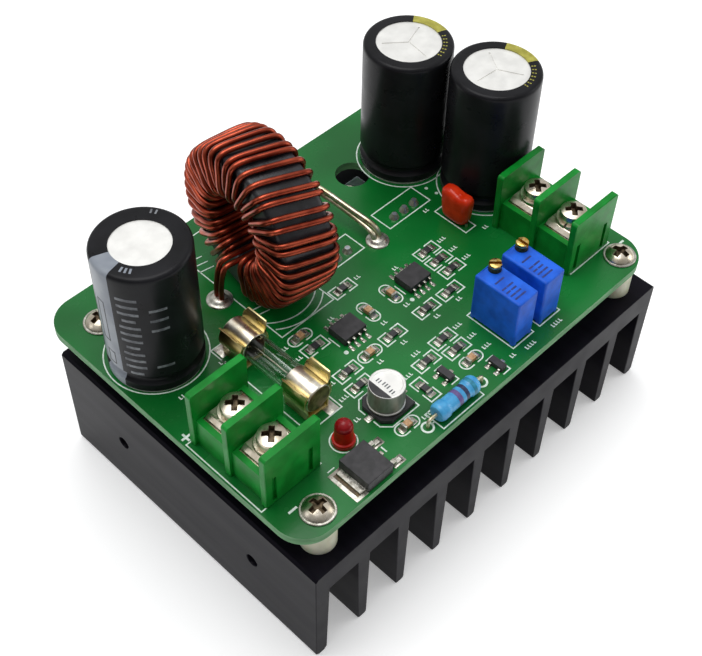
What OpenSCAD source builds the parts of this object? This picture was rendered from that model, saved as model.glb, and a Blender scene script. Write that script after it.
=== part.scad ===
// Boost converter module: a circuit board on a finned heatsink.
// Millimetres, +Z up. The origin is under the middle of the whole footprint, level with the fin tips.
// +X runs along the row of fins from the input terminals to the output terminals.

/* [Heatsink] */
// Length along the row of fins
sink_l = 85; // [78:0.5:110]
// Width along the fins
sink_w = 62; // [58:0.5:90]
// Height from the fin tips to the top
sink_h = 24.2; // [18:0.1:40]
// Thickness of the plate that carries the fins
sink_base = 5.5; // [5:0.1:8]
// Number of fins
fin_count = 10; // [6:1:12]
// Thickness of an inner fin at the plate
fin_root = 2.6; // [1.8:0.1:4]
// Thickness of an inner fin at its tip
fin_tip = 2; // [1.4:0.1:2.6]
// Thickness of an outer fin at the plate
side_fin_root = 3; // [2:0.1:4]
// Thickness of an outer fin at its tip
side_fin_tip = 2.4; // [1.6:0.1:3]
// Rounding of the fin tips
fin_tip_r = 0.6; // [0.2:0.1:0.7]
// Chamfer along the top edges
sink_chamfer = 0.5; // [0.2:0.1:1.5]
// Diameter of the two holes in the input side
side_hole_d = 2.4; // [1.5:0.1:5]
// Distance between the two side holes
side_hole_gap = 32.4; // [20:0.1:50]
// Height of the side holes above the fin tips
side_hole_z = 12.6; // [6:0.1:16]

/* [Circuit board] */
// Length of the board
board_l = 84.6; // [82:0.2:95]
// Width of the board
board_w = 62.8; // [62:0.2:80]
// Thickness of the board
board_t = 1.6; // [1:0.1:3]
// Radius of the board's corners
board_corner_r = 5.5; // [2:0.1:6]
// Board's middle, from the heatsink's middle, along the length
board_dx = -1.1; // [-3:0.1:1]
// Board's middle, from the heatsink's middle, along the width
board_dy = 2; // [0:0.1:4]
// Diameter of a screwdriver hole above each power package
access_hole_d = 6.4; // [5:0.1:8]

/* [Spacers and board screws] */
// Height of a spacer
spacer_h = 6.2; // [5.5:0.1:12]
// Outer diameter of a spacer
spacer_d = 6; // [4.5:0.1:6.6]
// Screw spacing along the length
screw_pitch_x = 73.7; // [70:0.1:74]
// Screw spacing along the width
screw_pitch_y = 51.4; // [49.5:0.1:51.6]
// Thread diameter of the screws
screw_d = 3; // [2:0.1:3.4]
// Diameter of a pan head
pan_head_d = 5.8; // [4.6:0.1:6]
// Height of a pan head
pan_head_h = 2; // [1.4:0.1:3]
// Depth of the screws in the heatsink
screw_depth = 4.6; // [3:0.1:5]
// Play round a screw where it passes through a piece
screw_play = 0.2; // [0.05:0.05:0.4]

/* [Large capacitors] */
// Diameter over the sleeve
cap_d = 15.8; // [12:0.1:16]
// Height over the sleeve
cap_h = 26.2; // [18:0.1:40]
// Thickness of the sleeve
sleeve_t = 0.2; // [0.1:0.05:0.5]
// Radius of the top edge of the can
cap_edge_r = 1; // [0.5:0.1:2]
// Bare disc on top of the input capacitor, diameter
cap_in_disc_d = 9.6; // [6:0.1:11]
// Bare disc on top of an output capacitor, diameter
cap_out_disc_d = 11.4; // [6:0.1:12]
// Height of the rolled groove
cap_groove_z = 3; // [2.5:0.1:6]
// Depth of the rolled groove
cap_groove = 0.7; // [0.3:0.1:1.2]
// Distance between the two leads of a large capacitor
cap_lead_pitch = 7.5; // [5:0.1:9]
// Input capacitor, from the middle of the board
cap_in_at = [-33.5, 11.8];
// Rear output capacitor, from the middle of the board
cap_rear_at = [29.7, 16.6];
// Front output capacitor, from the middle of the board
cap_front_at = [34.9, 1.2];

/* [Inductor] */
// Outer diameter of the core
core_od = 27.4; // [24:0.1:28.5]
// Hole of the core
core_id = 14.8; // [13.6:0.1:17]
// Thickness of the core along its axis
core_t = 9.7; // [8:0.1:11]
// Radius of the core's edges
core_edge_r = 1; // [0.6:0.1:2]
// Turn of the core's axis from the board's length, degrees
core_turn = -6.9; // [-12:0.1:0]
// Diameter of one strand of wire
wire_d = 1; // [0.6:0.05:1.05]
// Coating between the core and the wire
core_coat = 0.2; // [0.15:0.05:0.5]
// Distance between the two strands of a pair
strand_gap = 1.15; // [1.1:0.01:1.2]
// Number of turns
turns = 20; // [8:1:22]
// Angle round the core that the winding covers
wound_angle = 334; // [240:1:336]
// Middle of the inductor, from the middle of the board
coil_at = [-9.9, 11.85];
// Height of the lowest wire above the board
coil_lift = 0.1; // [0.05:0.05:0.6]

/* [Terminal blocks] */
// Depth of a block, across the board's edge
block_d = 11.3; // [10.6:0.1:12]
// Distance from one terminal to the next
block_pitch = 8; // [7.7:0.1:8.3]
// Thickness of a barrier
barrier_t = 1.2; // [0.8:0.1:1.4]
// Height of the barriers
barrier_h = 12.1; // [10.6:0.1:16]
// Rounding of the barriers' upper corners
barrier_r = 0.6; // [0.4:0.1:3]
// How far the barriers stand out past the housing, in front and behind
barrier_front = 0.7; // [0:0.1:1.2]
// Height of the housing between the barriers
block_h = 5.9; // [5.4:0.1:8]
// Length of a contact plate across the board's edge
contact_l = 7.8; // [7:0.1:8.6]
// Width of a contact plate
contact_w = 6.2; // [6.1:0.1:6.3]
// Thickness of a contact plate
contact_t = 0.8; // [0.5:0.1:1]
// Depth of the pocket for the contact
contact_pocket = 1.2; // [1:0.1:2]
// Diameter of a contact pin
contact_pin_d = 1.3; // [0.8:0.1:1.4]
// Size of a wire clamp across the board's edge
clamp_l = 7.2; // [5:0.1:7.6]
// Width of a wire clamp
clamp_w = 6; // [5:0.1:6]
// Thickness of a wire clamp
clamp_t = 1.1; // [0.6:0.1:1.3]
// Slope of a wire clamp's front and back ends, along the clamp
clamp_slope = 0.8; // [0.2:0.1:1]
// Diameter of a terminal screw's head
clamp_head_d = 4.6; // [4.2:0.1:5.6]
// Height of a terminal screw's head
clamp_head_h = 2; // [1.2:0.1:2.4]
// Diameter of the lock washer under the head
lock_d = 5.7; // [5:0.1:6]
// Thickness of the lock washer
lock_t = 0.7; // [0.3:0.1:0.8]
// Length of a terminal screw below its clamp
clamp_screw_l = 4; // [3:0.1:4.4]
// Input block's front face, from the board's edge
block_in_edge = 1.25; // [0.2:0.05:2]
// Output block's back face, from the board's edge
block_out_edge = 3.4; // [0.5:0.1:4]
// Middle of the input block, from the middle of the board
block_in_y = -13.7; // [-14:0.1:-10]
// Middle of the output block, from the middle of the board
block_out_y = -15.7; // [-16:0.1:-15.6]

/* [Fuse] */
// Length of the fuse
fuse_l = 20; // [18:0.1:22]
// Diameter of an end cap
fuse_d = 5.2; // [4.6:0.1:5.4]
// Wall of an end cap
fuse_cap_wall = 0.2; // [0.15:0.05:0.4]
// Length of an end cap
fuse_cap_l = 5.6; // [4:0.1:7]
// Wall of the glass tube
glass_wall = 0.5; // [0.3:0.05:0.8]
// Diameter of the fuse wire
fuse_wire_d = 0.3; // [0.2:0.05:0.6]
// Height of the fuse's axis above the board
fuse_z = 4; // [3.6:0.1:5]
// Length of a clip along the fuse
clip_l = 5.2; // [4:0.1:5.6]
// Thickness of the clip's metal
clip_t = 0.4; // [0.3:0.05:0.5]
// Width of the clip's foot
clip_foot_w = 4.6; // [4:0.1:5]
// Diameter of a clip's pin
clip_pin_d = 1; // [0.7:0.1:1.2]
// Middle of the fuse, from the middle of the board
fuse_at = [-23.3, -5.25];

/* [Trimmers] */
// Width of a trimmer
trim_w = 4.8; // [4.2:0.1:5.6]
// Length of a trimmer
trim_l = 9.5; // [9:0.1:10]
// Height of a trimmer's body
trim_h = 10; // [8:0.1:12]
// Height of the feet under the body
trim_foot = 0.4; // [0.2:0.1:1]
// Diameter of the adjusting screw
trim_screw_d = 2.2; // [1.4:0.1:2.4]
// Height of the adjusting screw above the body
trim_screw_h = 1.5; // [0.8:0.1:2.5]
// Depth of the adjusting screw in the body
trim_screw_depth = 3; // [2:0.1:6]
// Running clearance round the adjusting screw
trim_clear = 0.05; // [0.02:0.01:0.1]
// Adjusting screw's axis, from two sides of the body
trim_screw_in = 1.4; // [1.3:0.05:2]
// Spacing of the two trimmers
trim_pitch = 6.75; // [6:0.05:7.5]
// Middle of the current trimmer, from the middle of the board
trim_at = [11.3, -23.1];

/* [Small parts] */
// Diameter of the surface-mount capacitor
can_d = 6.3; // [4:0.1:6.5]
// Height of the surface-mount capacitor
can_h = 5.6; // [4.5:0.1:8]
// Size of its base
can_base = 6.6; // [6.5:0.1:7]
// Thickness of its base
can_base_t = 0.9; // [0.6:0.1:1.5]
// Diameter of the indicator lamp
lamp_d = 3; // [2.5:0.1:4]
// Height of the indicator lamp
lamp_h = 5.2; // [4:0.1:7]
// Width of the film capacitor
film_w = 6.8; // [6.2:0.1:8]
// Thickness of the film capacitor
film_t = 3; // [2:0.1:3.3]
// Height of the film capacitor
film_h = 6.8; // [5:0.1:9]
// Length of the axial resistor's body
res_l = 9; // [7:0.1:10]
// Diameter of the axial resistor's ends
res_d = 3.3; // [2.4:0.1:3.6]
// Distance between the axial resistor's leads
res_pitch = 12.7; // [12:0.1:13.5]
// Diameter of thin leads
thin_lead_d = 0.6; // [0.4:0.05:0.8]
// How far the leads stand out under the board
lead_out = 1.2; // [1:0.1:2]
// Length of a chip part
chip_l = 2; // [1.6:0.1:2.2]
// Width of a chip part
chip_w = 1.25; // [0.8:0.05:1.4]
// Height of a chip resistor
chip_res_h = 0.55; // [0.4:0.05:0.8]
// Height of a chip capacitor
chip_cap_h = 0.9; // [0.6:0.05:1.2]
// Length of a chip part's end metal
chip_end = 0.4; // [0.2:0.05:0.6]

/* [Power packages] */
// Width of a package
pack_w = 10.2; // [9:0.1:11]
// Length of a package with its tab
pack_l = 15.6; // [14:0.1:16.4]
// Length of the moulded body
pack_body_l = 9; // [8:0.1:9.2]
// Thickness of the moulded body
pack_t = 4.5; // [4:0.1:4.8]
// Thickness of the tab
tab_t = 1.3; // [0.8:0.1:1.6]
// Tab hole, from the tab's end
tab_hole_in = 2.75; // [2.5:0.05:3.4]
// Height of the leads above the tab's back
pack_lead_z = 2.7; // [2.2:0.1:3.2]
// Pitch of the leads
pack_lead_pitch = 2.54; // [2:0.01:3]
// Diameter of a lead
pack_lead_d = 0.8; // [0.6:0.05:1]
// Thickness of the insulating pad
pad_t = 0.3; // [0.2:0.05:0.6]
// Width that the pad shows round the package
pad_margin = 0.9; // [0.4:0.1:1.5]
// Screw of both packages, from the middle of the board, along the width
pack_screw_y = 20.4; // [20:0.1:21]
// Power transistor, from the middle of the board, along the length
switch_x = 2.4; // [1:0.1:4]
// Rectifier, from the middle of the board, along the length
rectifier_x = 19.4; // [18:0.1:20]

/* [Hidden] */
$fn = 48;

// A little more than a cut needs, so that it passes right through
over = 0.5;

// The layout is drawn on a board of this length, and spreads along with it
drawn_board_l = 84.6;
function spread(p) = [p[0] * board_l / drawn_board_l, p[1]];

// Levels and the frame's shift
board_z = sink_h + spacer_h;
board_top = board_z + board_t;
foot_x = [min(-sink_l / 2, board_dx - board_l / 2), max(sink_l / 2, board_dx + board_l / 2)];
foot_y = [min(-sink_w / 2, board_dy - board_w / 2), max(sink_w / 2, board_dy + board_w / 2)];
frame_x = -(foot_x[0] + foot_x[1]) / 2;
frame_y = -(foot_y[0] + foot_y[1]) / 2;

// Places of the screws, from the heatsink's middle
board_screw_at = [for (x = [-1, 1], y = [-1, 1]) [x * screw_pitch_x / 2, y * screw_pitch_y / 2]];
pack_x = [for (x = [switch_x, rectifier_x]) spread([x, 0])[0]];
pack_screw_at = [for (x = pack_x) [x + board_dx, pack_screw_y + board_dy]];

// Power packages: the level of their seat and the row of their leads, from the middle of the board
pack_z = sink_h + pad_t;
pack_edge_y = pack_screw_y + tab_hole_in - pack_l;
pack_bend = 1.1;
pack_lead_y = pack_edge_y - pack_bend;
access_back = 0.9;

// Terminal blocks, from the middle of the board
block_w = 2 * block_pitch + barrier_t;
block_in_at = [-board_l / 2 + block_in_edge + block_d / 2, block_in_y];
// A wider output block keeps its outer end and pushes the capacitors beside it along
drawn_block_w = 17.2;
block_grow = block_w - drawn_block_w;
block_out_at = [board_l / 2 - block_out_edge - block_d / 2, block_out_y + block_grow / 2];
contact_z = block_h - contact_pocket;
clamp_z = contact_z + contact_t;
contact_pin_x = 3;
clamp_play = 0.1;
pocket_l = max(contact_l, clamp_l + 2 * clamp_play);
pocket_w = max(contact_w, clamp_w + 2 * clamp_play);

// Fuse and clips
clip_at_y = fuse_l / 2 - fuse_cap_l / 2;
clip_pin_y = 1.6;
clip_play = 0.04;
clip_r = fuse_d / 2 + clip_play;
fuse_mid = spread(fuse_at);

// Trimmers
trim_places = [spread(trim_at), spread(trim_at) + [trim_pitch, 0]];
trim_screw_shift = [trim_w / 2 - trim_screw_in, trim_l / 2 - trim_screw_in];
trim_pin_y = [-2.54, 0, 2.54];
trim_pin_d = 0.5;
trim_collar = 0.35;
trim_collar_t = 0.6;

// Small parts, from the middle of the board
cap_in_mid = spread(cap_in_at);
cap_front_mid = spread(cap_front_at) + [0, block_grow];
cap_gap = 0.2;
cap_rear_dy = spread(cap_rear_at)[1] - cap_front_mid[1];
cap_rear_dx = sqrt(max(0, (cap_d + cap_gap) * (cap_d + cap_gap) - cap_rear_dy * cap_rear_dy));
cap_rear_mid = [min(spread(cap_rear_at)[0], cap_front_mid[0] - cap_rear_dx), spread(cap_rear_at)[1]];
can_at = spread([-14.55, -21.4]);
lamp_at = spread([-24.2, -21.6]);
lamp_lead = 1.27;
film_at = spread([24.4, -1.5]);
film_lead = 2.5;
res_at = spread([-6.7, -29]);
regulator_at = spread([-25.6, -27.75]);
chip_8_at = [spread([-8.2, -6.6]), spread([7.9, -6.3])];
transistor_at = [spread([-3.5, -24.1]), spread([4, -28.6])];
// Chip parts: x, y and the turn of the part
chip_res_at = [[14.8, -3.3, 0], [14.7, -6.2, 0], [14.8, -9.15, 0], [10.75, -12.4, 0], [4.95, -12.3, 0],
    [-1.95, 0.75, 0], [-3.3, -12.25, 0], [1.95, -18.65, 0], [2, -21.65, 0], [-3.5, -20, 0],
    [-7.8, -23.7, 90], [-14.7, -15.8, 0], [-14.1, -12.5, 0], [-14.2, -5.05, 0]];
chip_cap_at = [[3.05, -5.8, 90], [-2.55, -5.95, 90], [-8.8, -12.35, 0], [2, -24.8, 0],
    [-15.05, -26.5, 0], [-14.55, -1.9, 0]];

// Leads that pass through the board and are soldered underneath: x, y and diameter
cap_leads = [for (p = [cap_in_mid, cap_rear_mid, cap_front_mid], s = [-1, 1])
    [p[0] + s * cap_lead_pitch / 2, p[1], thin_lead_d]];
contact_leads = [for (b = [block_in_at, block_out_at], s = [-1, 1])
    [b[0] + contact_pin_x, b[1] + s * block_pitch / 2, contact_pin_d]];
clip_leads = [for (e = [-1, 1], s = [-1, 1])
    [fuse_mid[0], fuse_mid[1] + e * clip_at_y + s * clip_pin_y, clip_pin_d]];
trim_leads = [for (p = trim_places, y = trim_pin_y) [p[0], p[1] + y, trim_pin_d]];
small_leads = concat(
    [for (s = [-1, 1]) [lamp_at[0], lamp_at[1] + s * lamp_lead, thin_lead_d]],
    [for (s = [-1, 1]) [film_at[0], film_at[1] + s * film_lead, thin_lead_d]],
    [for (s = [-1, 1]) [res_at[0] + s * res_pitch / 2, res_at[1], thin_lead_d]]);
board_leads = concat(cap_leads, contact_leads, clip_leads, trim_leads, small_leads);
pack_leads = [for (x = pack_x, s = [-1, 0, 1])
    [x + s * pack_lead_pitch, pack_lead_y, pack_lead_d]];

// Inductor: the loop that a strand follows round the core. Each row gives the radius, the place along the axis,
// the share of a turn, how far the pair is fanned out, and how far the upper strand moves in and out
wire_off = core_coat + wire_d / 2;
loop_r = core_edge_r + wire_off;
loop_in = core_id / 2 - wire_off;
loop_out = core_od / 2 + wire_off;
loop_half = core_t / 2 + wire_off;
loop_mid = (loop_in + loop_out) / 2;
loop_diag = loop_r * (1 - cos(45));
loop = [[loop_in, loop_half - loop_r, 0, 0, 1, 0], [loop_in, 0, 0, 0, 1, 0],
    [loop_in, loop_r - loop_half, 0, 0, 1, 0], [loop_in + loop_diag, loop_diag - loop_half, 0, 0, 0.8, -0.6],
    [loop_in + loop_r, -loop_half, 0.04, 0.15, 0, -0.5], [loop_mid, -loop_half, 0.13, 0.5, 0, 0],
    [loop_out - loop_r, -loop_half, 0.22, 0.85, 0, 0],
    [loop_out - loop_diag, loop_diag - loop_half, 0.25, 1, 0, 0], [loop_out, loop_r - loop_half, 0.285, 1, 0, 0],
    [loop_out, 0, 0.5, 1, 0, 0], [loop_out, loop_half - loop_r, 0.715, 1, 0, 0],
    [loop_out - loop_diag, loop_half - loop_diag, 0.75, 1, 0, 0], [loop_out - loop_r, loop_half, 0.78, 0.85, 0, 0],
    [loop_mid, loop_half, 0.87, 0.5, 0, 0], [loop_in + loop_r, loop_half, 0.96, 0.15, 0, 0.5],
    [loop_in + loop_diag, loop_half - loop_diag, 1, 0, 0.8, 0.6]];
// In the hole the upper strand of a pair lies on the others; on the rim each pair has its own spread, as a share
// of a turn
strand_stack = 0.8 * wire_d;
pair_share = [0.42, 0.54, 0.36, 0.48, 0.54, 0.36, 0.48, 0.42, 0.54, 0.33,
    0.57, 0.33, 0.45, 0.33, 0.48, 0.42, 0.54, 0.36, 0.48, 0.42];
hole_share = 0.5;
coil_z = loop_out + wire_d / 2 + coil_lift;
coil_mid = spread(coil_at);
coil_start = -65;
turn_step = wound_angle / turns;
// The pads and leads are drawn for a core of this diameter, from its middle on the board, and grow with it
drawn_core_od = 27.4;
coil_u = core_od / drawn_core_od;
pad_1_at = coil_mid + coil_u * [-8.5, 1.75];
pad_2_at = coil_mid + coil_u * [20.4, -7.35];
lead_tail = board_t + lead_out;
half_gap = strand_gap / 2;
// Lead points, each with the step from the pair's middle to one strand: down to the front pad,
// and from the rear pad round behind the core
front_lead = [[[-7.2, 1.1, 8.8], [0.05, 0.95, 0.6]], [[-8.05, 1.2, 7.9], [0.05, 1, 0.2]],
    [[-8.4, 1.45, 5.4], [0, 1, 0]], [[-8.5, 1.75, 2.6], [0, 1, 0]], [[-8.5, 1.75, 1.2], [0, 1, 0]]];
rear_lead = [[[20.4, -7.35, 1.1], [1, 0, 0]],
    [[20.35, -6.45, 2.1], [0.85, 0, 0.6]], [[20.15, -4.85, 2.7], [0.4, 0, 0.95]], [[19.8, -0.85, 3.2], [0, 0, 1]],
    [[19.4, 4.15, 3.9], [0, 0, 1]], [[18.6, 6.75, 4.5], [0, 0, 1]], [[16.3, 8.15, 5.4], [0, 0, 1]],
    [[12.5, 7.05, 7], [0, 0.2, 1]], [[9.25, 3.9, 8.3], [0, 0.4, 0.92]], [[7.55, 1.85, 9], [0, 0.5, 0.87]]];
// Solder of the inductor's pads
coil_pad_d = coil_u * [4.6, 4.2];
coil_land_h = 0.2;
coil_hole_d = strand_gap + wire_d + 0.1;
coil_solder_h = 0.7 * coil_u;
joint_h = 0.9;
joint_r = 0.55;

// Places a piece in the part's frame, from the heatsink's middle
module framed() translate([frame_x, frame_y, 0]) children();
// Places a piece on top of the board, from the board's middle
module on_board(p) framed() translate([board_dx + p[0], board_dy + p[1], board_top]) children();

// Outline of a fin that hangs from the plate, with round tip corners; its middle line is x = 0
module fin_outline(root, tip) {
    polygon([[-root / 2, sink_h - sink_base + over], [-tip / 2, fin_tip_r], [tip / 2, fin_tip_r],
        [root / 2, sink_h - sink_base + over]]);
    for (s = [-1, 1]) translate([s * (tip / 2 - fin_tip_r), fin_tip_r]) circle(fin_tip_r);
    translate([fin_tip_r - tip / 2, 0]) square([tip - 2 * fin_tip_r, fin_tip_r]);
}

// Outline of an outer fin; its outer side is x = 0 and it lies towards +x
module side_fin_outline() polygon([[0, sink_h - sink_base + over], [0, fin_tip_r], [fin_tip_r, 0],
    [side_fin_tip - fin_tip_r, 0], [side_fin_tip, fin_tip_r], [side_fin_root, sink_h - sink_base + over]]);

// Extrudes an outline, drawn across the fins, over the heatsink's width
module along_fins() translate([0, sink_w / 2, 0]) rotate([90, 0, 0]) linear_extrude(sink_w) children();

module heatsink() color("#242428") framed() difference() {
    half = sink_l / 2;
    step = (sink_l - side_fin_root) / (fin_count - 1);
    union() {
        along_fins() polygon([[-half, sink_h - sink_base], [-half, sink_h - sink_chamfer],
            [sink_chamfer - half, sink_h], [half - sink_chamfer, sink_h], [half, sink_h - sink_chamfer],
            [half, sink_h - sink_base]]);
        for (i = [1 : fin_count - 2]) translate([(side_fin_root - sink_l) / 2 + i * step, 0, 0])
            along_fins() fin_outline(fin_root, fin_tip);
        for (m = [0, 1]) mirror([m, 0, 0]) translate([-half, 0, 0]) along_fins() side_fin_outline();
    }
    for (p = concat(board_screw_at, pack_screw_at))
        translate([p[0], p[1], sink_h - screw_depth]) cylinder(d = screw_d, h = screw_depth + over);
    for (s = [-1, 1]) translate([-sink_l / 2 - over, s * side_hole_gap / 2, side_hole_z])
        rotate([0, 90, 0]) cylinder(d = side_hole_d, h = side_fin_root + 2 * over);
}

module board_outline() {
    square([board_l - 2 * board_corner_r, board_w], center = true);
    square([board_l, board_w - 2 * board_corner_r], center = true);
    for (x = [-1, 1], y = [-1, 1])
        translate([x * (board_l / 2 - board_corner_r), y * (board_w / 2 - board_corner_r)])
            circle(board_corner_r);
}

module circuit_board() color("#1f8a3c") framed() difference() {
    translate([board_dx, board_dy, board_z]) linear_extrude(board_t) board_outline();
    for (p = board_screw_at)
        translate([p[0], p[1], board_z - over])
            cylinder(d = screw_d + 2 * screw_play, h = board_t + 2 * over);
    translate([board_dx, board_dy, board_z - over]) {
        for (p = concat(board_leads, pack_leads))
            translate([p[0], p[1], 0]) cylinder(d = p[2], h = board_t + 2 * over);
        for (p = [pad_1_at, pad_2_at]) translate(p) cylinder(d = coil_hole_d, h = board_t + 2 * over);
        for (x = pack_x) translate([x, pack_screw_y - access_back, 0])
            cylinder(d = access_hole_d, h = board_t + 2 * over);
    }
}

module board_spacers() color("#f2f0e6") framed() for (p = board_screw_at)
    translate([p[0], p[1], sink_h]) difference() {
        cylinder(d = spacer_d, h = spacer_h);
        translate([0, 0, -over]) cylinder(d = screw_d + 2 * screw_play, h = spacer_h + 2 * over);
    }

// Head with a flat top, a round upper edge and a cross recess, standing on z = 0
module screw_head(d, h, edge) {
    flat = d / 2 - edge;
    recess_l = 0.58 * d;
    recess_w = 0.18 * d;
    difference() {
        rotate_extrude() {
            square([d / 2, h - edge]);
            square([flat, h]);
            translate([flat, h - edge]) circle(edge);
        }
        for (a = [0, 90]) rotate(a) translate([-recess_l / 2, -recess_w / 2, 0.4 * h])
            cube([recess_l, recess_w, h]);
    }
}

// Screw whose head has a thin rim round it
pan_rim_w = 0.4;
pan_rim_h = 0.3;
module pan_screw(l) {
    cylinder(d = pan_head_d, h = pan_rim_h);
    screw_head(pan_head_d - 2 * pan_rim_w, pan_head_h, 0.45 * pan_head_h);
    translate([0, 0, -l]) cylinder(d = screw_d, h = l + 0.3 * pan_head_h);
}

module board_screws() color("#d9d3c4") framed() for (p = board_screw_at)
    translate([p[0], p[1], board_top]) rotate(20) pan_screw(board_t + spacer_h + screw_depth);

// Half section of a can with a round top edge and a rolled groove
module can_section(r, h, edge_r, groove_r, groove_x) difference() {
    union() {
        square([r - edge_r, h]);
        square([r, h - edge_r]);
        translate([r - edge_r, h - edge_r]) circle(edge_r);
    }
    translate([groove_x, cap_groove_z]) circle(groove_r);
}

groove_r = 1.4;
cap_can_r = cap_d / 2 - sleeve_t;
cap_can_h = cap_h - sleeve_t;
groove_x = cap_can_r + groove_r - cap_groove;
sleeve_z = 0.5;
vent_w = 0.3;
vent_depth = 0.15;
vent_turn = [20, 57];

// vent is the turn of the three vent grooves, or -1 for none
module cap_can(p, vent) color("#dcdcda") {
    on_board(p) difference() {
        rotate_extrude() can_section(cap_can_r, cap_can_h, cap_edge_r, groove_r, groove_x);
        if (vent >= 0) for (a = [0, 120, 240]) rotate(vent + a)
            translate([-vent_w / 2, -vent_w / 2, cap_can_h - vent_depth])
            cube([0.42 * cap_out_disc_d, vent_w, vent_depth + over]);
    }
    on_board(p) for (s = [-1, 1]) translate([s * cap_lead_pitch / 2, 0, -board_t - lead_out])
        cylinder(d = thin_lead_d, h = board_t + lead_out + over);
}

module cap_sleeve(p, disc_d) color("#1b1b1e") on_board(p) rotate_extrude() difference() {
    can_section(cap_d / 2, cap_h, cap_edge_r + sleeve_t, groove_r - sleeve_t, groove_x);
    can_section(cap_can_r, cap_can_h, cap_edge_r, groove_r, groove_x);
    square([disc_d / 2, cap_h + over]);
    square([cap_d, sleeve_z]);
}

module input_capacitor_can() cap_can(cap_in_mid, -1);
module input_capacitor_sleeve() cap_sleeve(cap_in_mid, cap_in_disc_d);
module rear_output_capacitor_can() cap_can(cap_rear_mid, vent_turn[0]);
module rear_output_capacitor_sleeve() cap_sleeve(cap_rear_mid, cap_out_disc_d);
module front_output_capacitor_can() cap_can(cap_front_mid, vent_turn[1]);
module front_output_capacitor_sleeve() cap_sleeve(cap_front_mid, cap_out_disc_d);

module core_section() {
    inner = core_id / 2;
    wall = (core_od - core_id) / 2;
    translate([inner + core_edge_r, -core_t / 2]) square([wall - 2 * core_edge_r, core_t]);
    translate([inner, core_edge_r - core_t / 2]) square([wall, core_t - 2 * core_edge_r]);
    for (x = [core_edge_r, wall - core_edge_r], s = [-1, 1])
        translate([inner + x, s * (core_t / 2 - core_edge_r)]) circle(core_edge_r);
}

module inductor_core() color("#26262a") on_board(coil_mid) translate([0, 0, coil_z]) rotate(core_turn)
    rotate([0, 90, 0]) rotate_extrude() core_section();

// A point of a strand: turn k, a row of the loop, and which side of the pair the strand is on
function pair_spread(k, fan) = hole_share + fan * (pair_share[k % len(pair_share)] - hole_share);
function coil_point(k, row, side) =
    let (stack = side > 0 ? strand_stack : 0, r = row[0] - stack * row[4], x = row[1] + stack * row[5])
    let (a = coil_start + (k + row[2] + side * pair_spread(k, row[3]) / 2) * turn_step, y = r * cos(a))
    [coil_mid[0] + x * cos(core_turn) - y * sin(core_turn),
        coil_mid[1] + x * sin(core_turn) + y * cos(core_turn), coil_z + r * sin(a)];
function lead_points(lead, side) = [for (p = lead)
    [coil_mid[0], coil_mid[1], 0] + coil_u * p[0] + side * half_gap * p[1]];
function lead_end(pad, step, side) = [pad[0], pad[1], -lead_tail] + side * half_gap * step;
function strand_path(side) = concat([lead_end(pad_2_at, [1, 0, 0], side)], lead_points(rear_lead, side),
    [for (k = [0 : turns - 1], row = loop) coil_point(k, row, side)],
    [for (i = [0 : 2]) coil_point(turns, loop[i], side)], lead_points(front_lead, side),
    [lead_end(pad_1_at, [0, 1, 0], side)]);

function unit(v) = v / norm(v);
function square_to(v, t) = unit(v - (v * t) * t);
// Tube of a given radius and number of sides along a path, with a frame carried from ring to ring
module tube(path, r, sides) {
    n = len(path);
    dirs = [for (i = [0 : n - 1]) unit(path[min(i + 1, n - 1)] - path[max(i - 1, 0)])];
    first = square_to([0.3, 1, 0.2], dirs[0]);
    across = [for (i = 0, v = first; i < n; i = i + 1, v = square_to(v, dirs[min(i, n - 1)]))
        square_to(v, dirs[i])];
    rings = [for (i = [0 : n - 1], s = [0 : sides - 1]) let (a = 360 * s / sides)
        path[i] + r * (cos(a) * across[i] + sin(a) * cross(dirs[i], across[i]))];
    walls = [for (i = [0 : n - 2], s = [0 : sides - 1]) let (u = (s + 1) % sides, a = i * sides)
        each [[a + s, a + sides + s, a + sides + u], [a + s, a + sides + u, a + u]]];
    ends = [[for (s = [0 : sides - 1]) s], [for (s = [sides - 1 : -1 : 0]) (n - 1) * sides + s]];
    polyhedron(rings, concat(walls, ends));
}

module winding(side) color("#b5482a") on_board([0, 0]) tube(strand_path(side), wire_d / 2, 6);
module inductor_winding_1() winding(-1);
module inductor_winding_2() winding(1);

barrier_slot_w = 0.9;
barrier_slot_depth = 0.5;
barrier_slot_h = 6;
barrier_slot_x = [-4.35, 3.05];

module barrier() {
    flat = block_d - 2 * barrier_r;
    translate([0, barrier_t / 2, 0]) rotate([90, 0, 0]) linear_extrude(barrier_t) {
        translate([-block_d / 2, 0]) square([block_d, barrier_h - barrier_r]);
        translate([-flat / 2, 0]) square([flat, barrier_h]);
        for (s = [-1, 1]) translate([s * flat / 2, barrier_h - barrier_r]) circle(barrier_r);
    }
}

module terminal_housing(p) color("#1f9a3c") on_board(p) difference() {
    union() {
        translate([barrier_front - block_d / 2, -block_w / 2, 0])
            cube([block_d - 2 * barrier_front, block_w, block_h]);
        for (i = [-1 : 1]) translate([0, i * block_pitch, 0]) barrier();
    }
    for (s = [-1, 1]) translate([0, s * block_pitch / 2, 0]) {
        translate([-pocket_l / 2, -pocket_w / 2, contact_z])
            cube([pocket_l, pocket_w, contact_pocket + over]);
        translate([0, 0, clamp_z - clamp_screw_l - over])
            cylinder(d = screw_d + 2 * screw_play, h = clamp_screw_l + contact_t);
        translate([contact_pin_x, 0, -over]) cylinder(d = contact_pin_d, h = block_h);
    }
    for (x = barrier_slot_x) translate([x, -block_w / 2 - over, over])
        cube([barrier_slot_w, barrier_slot_depth + over, barrier_slot_h]);
}

// One terminal's place in a block: s is -1 or 1
function terminal_at(block, s) = block + [0, s * block_pitch / 2];

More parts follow.
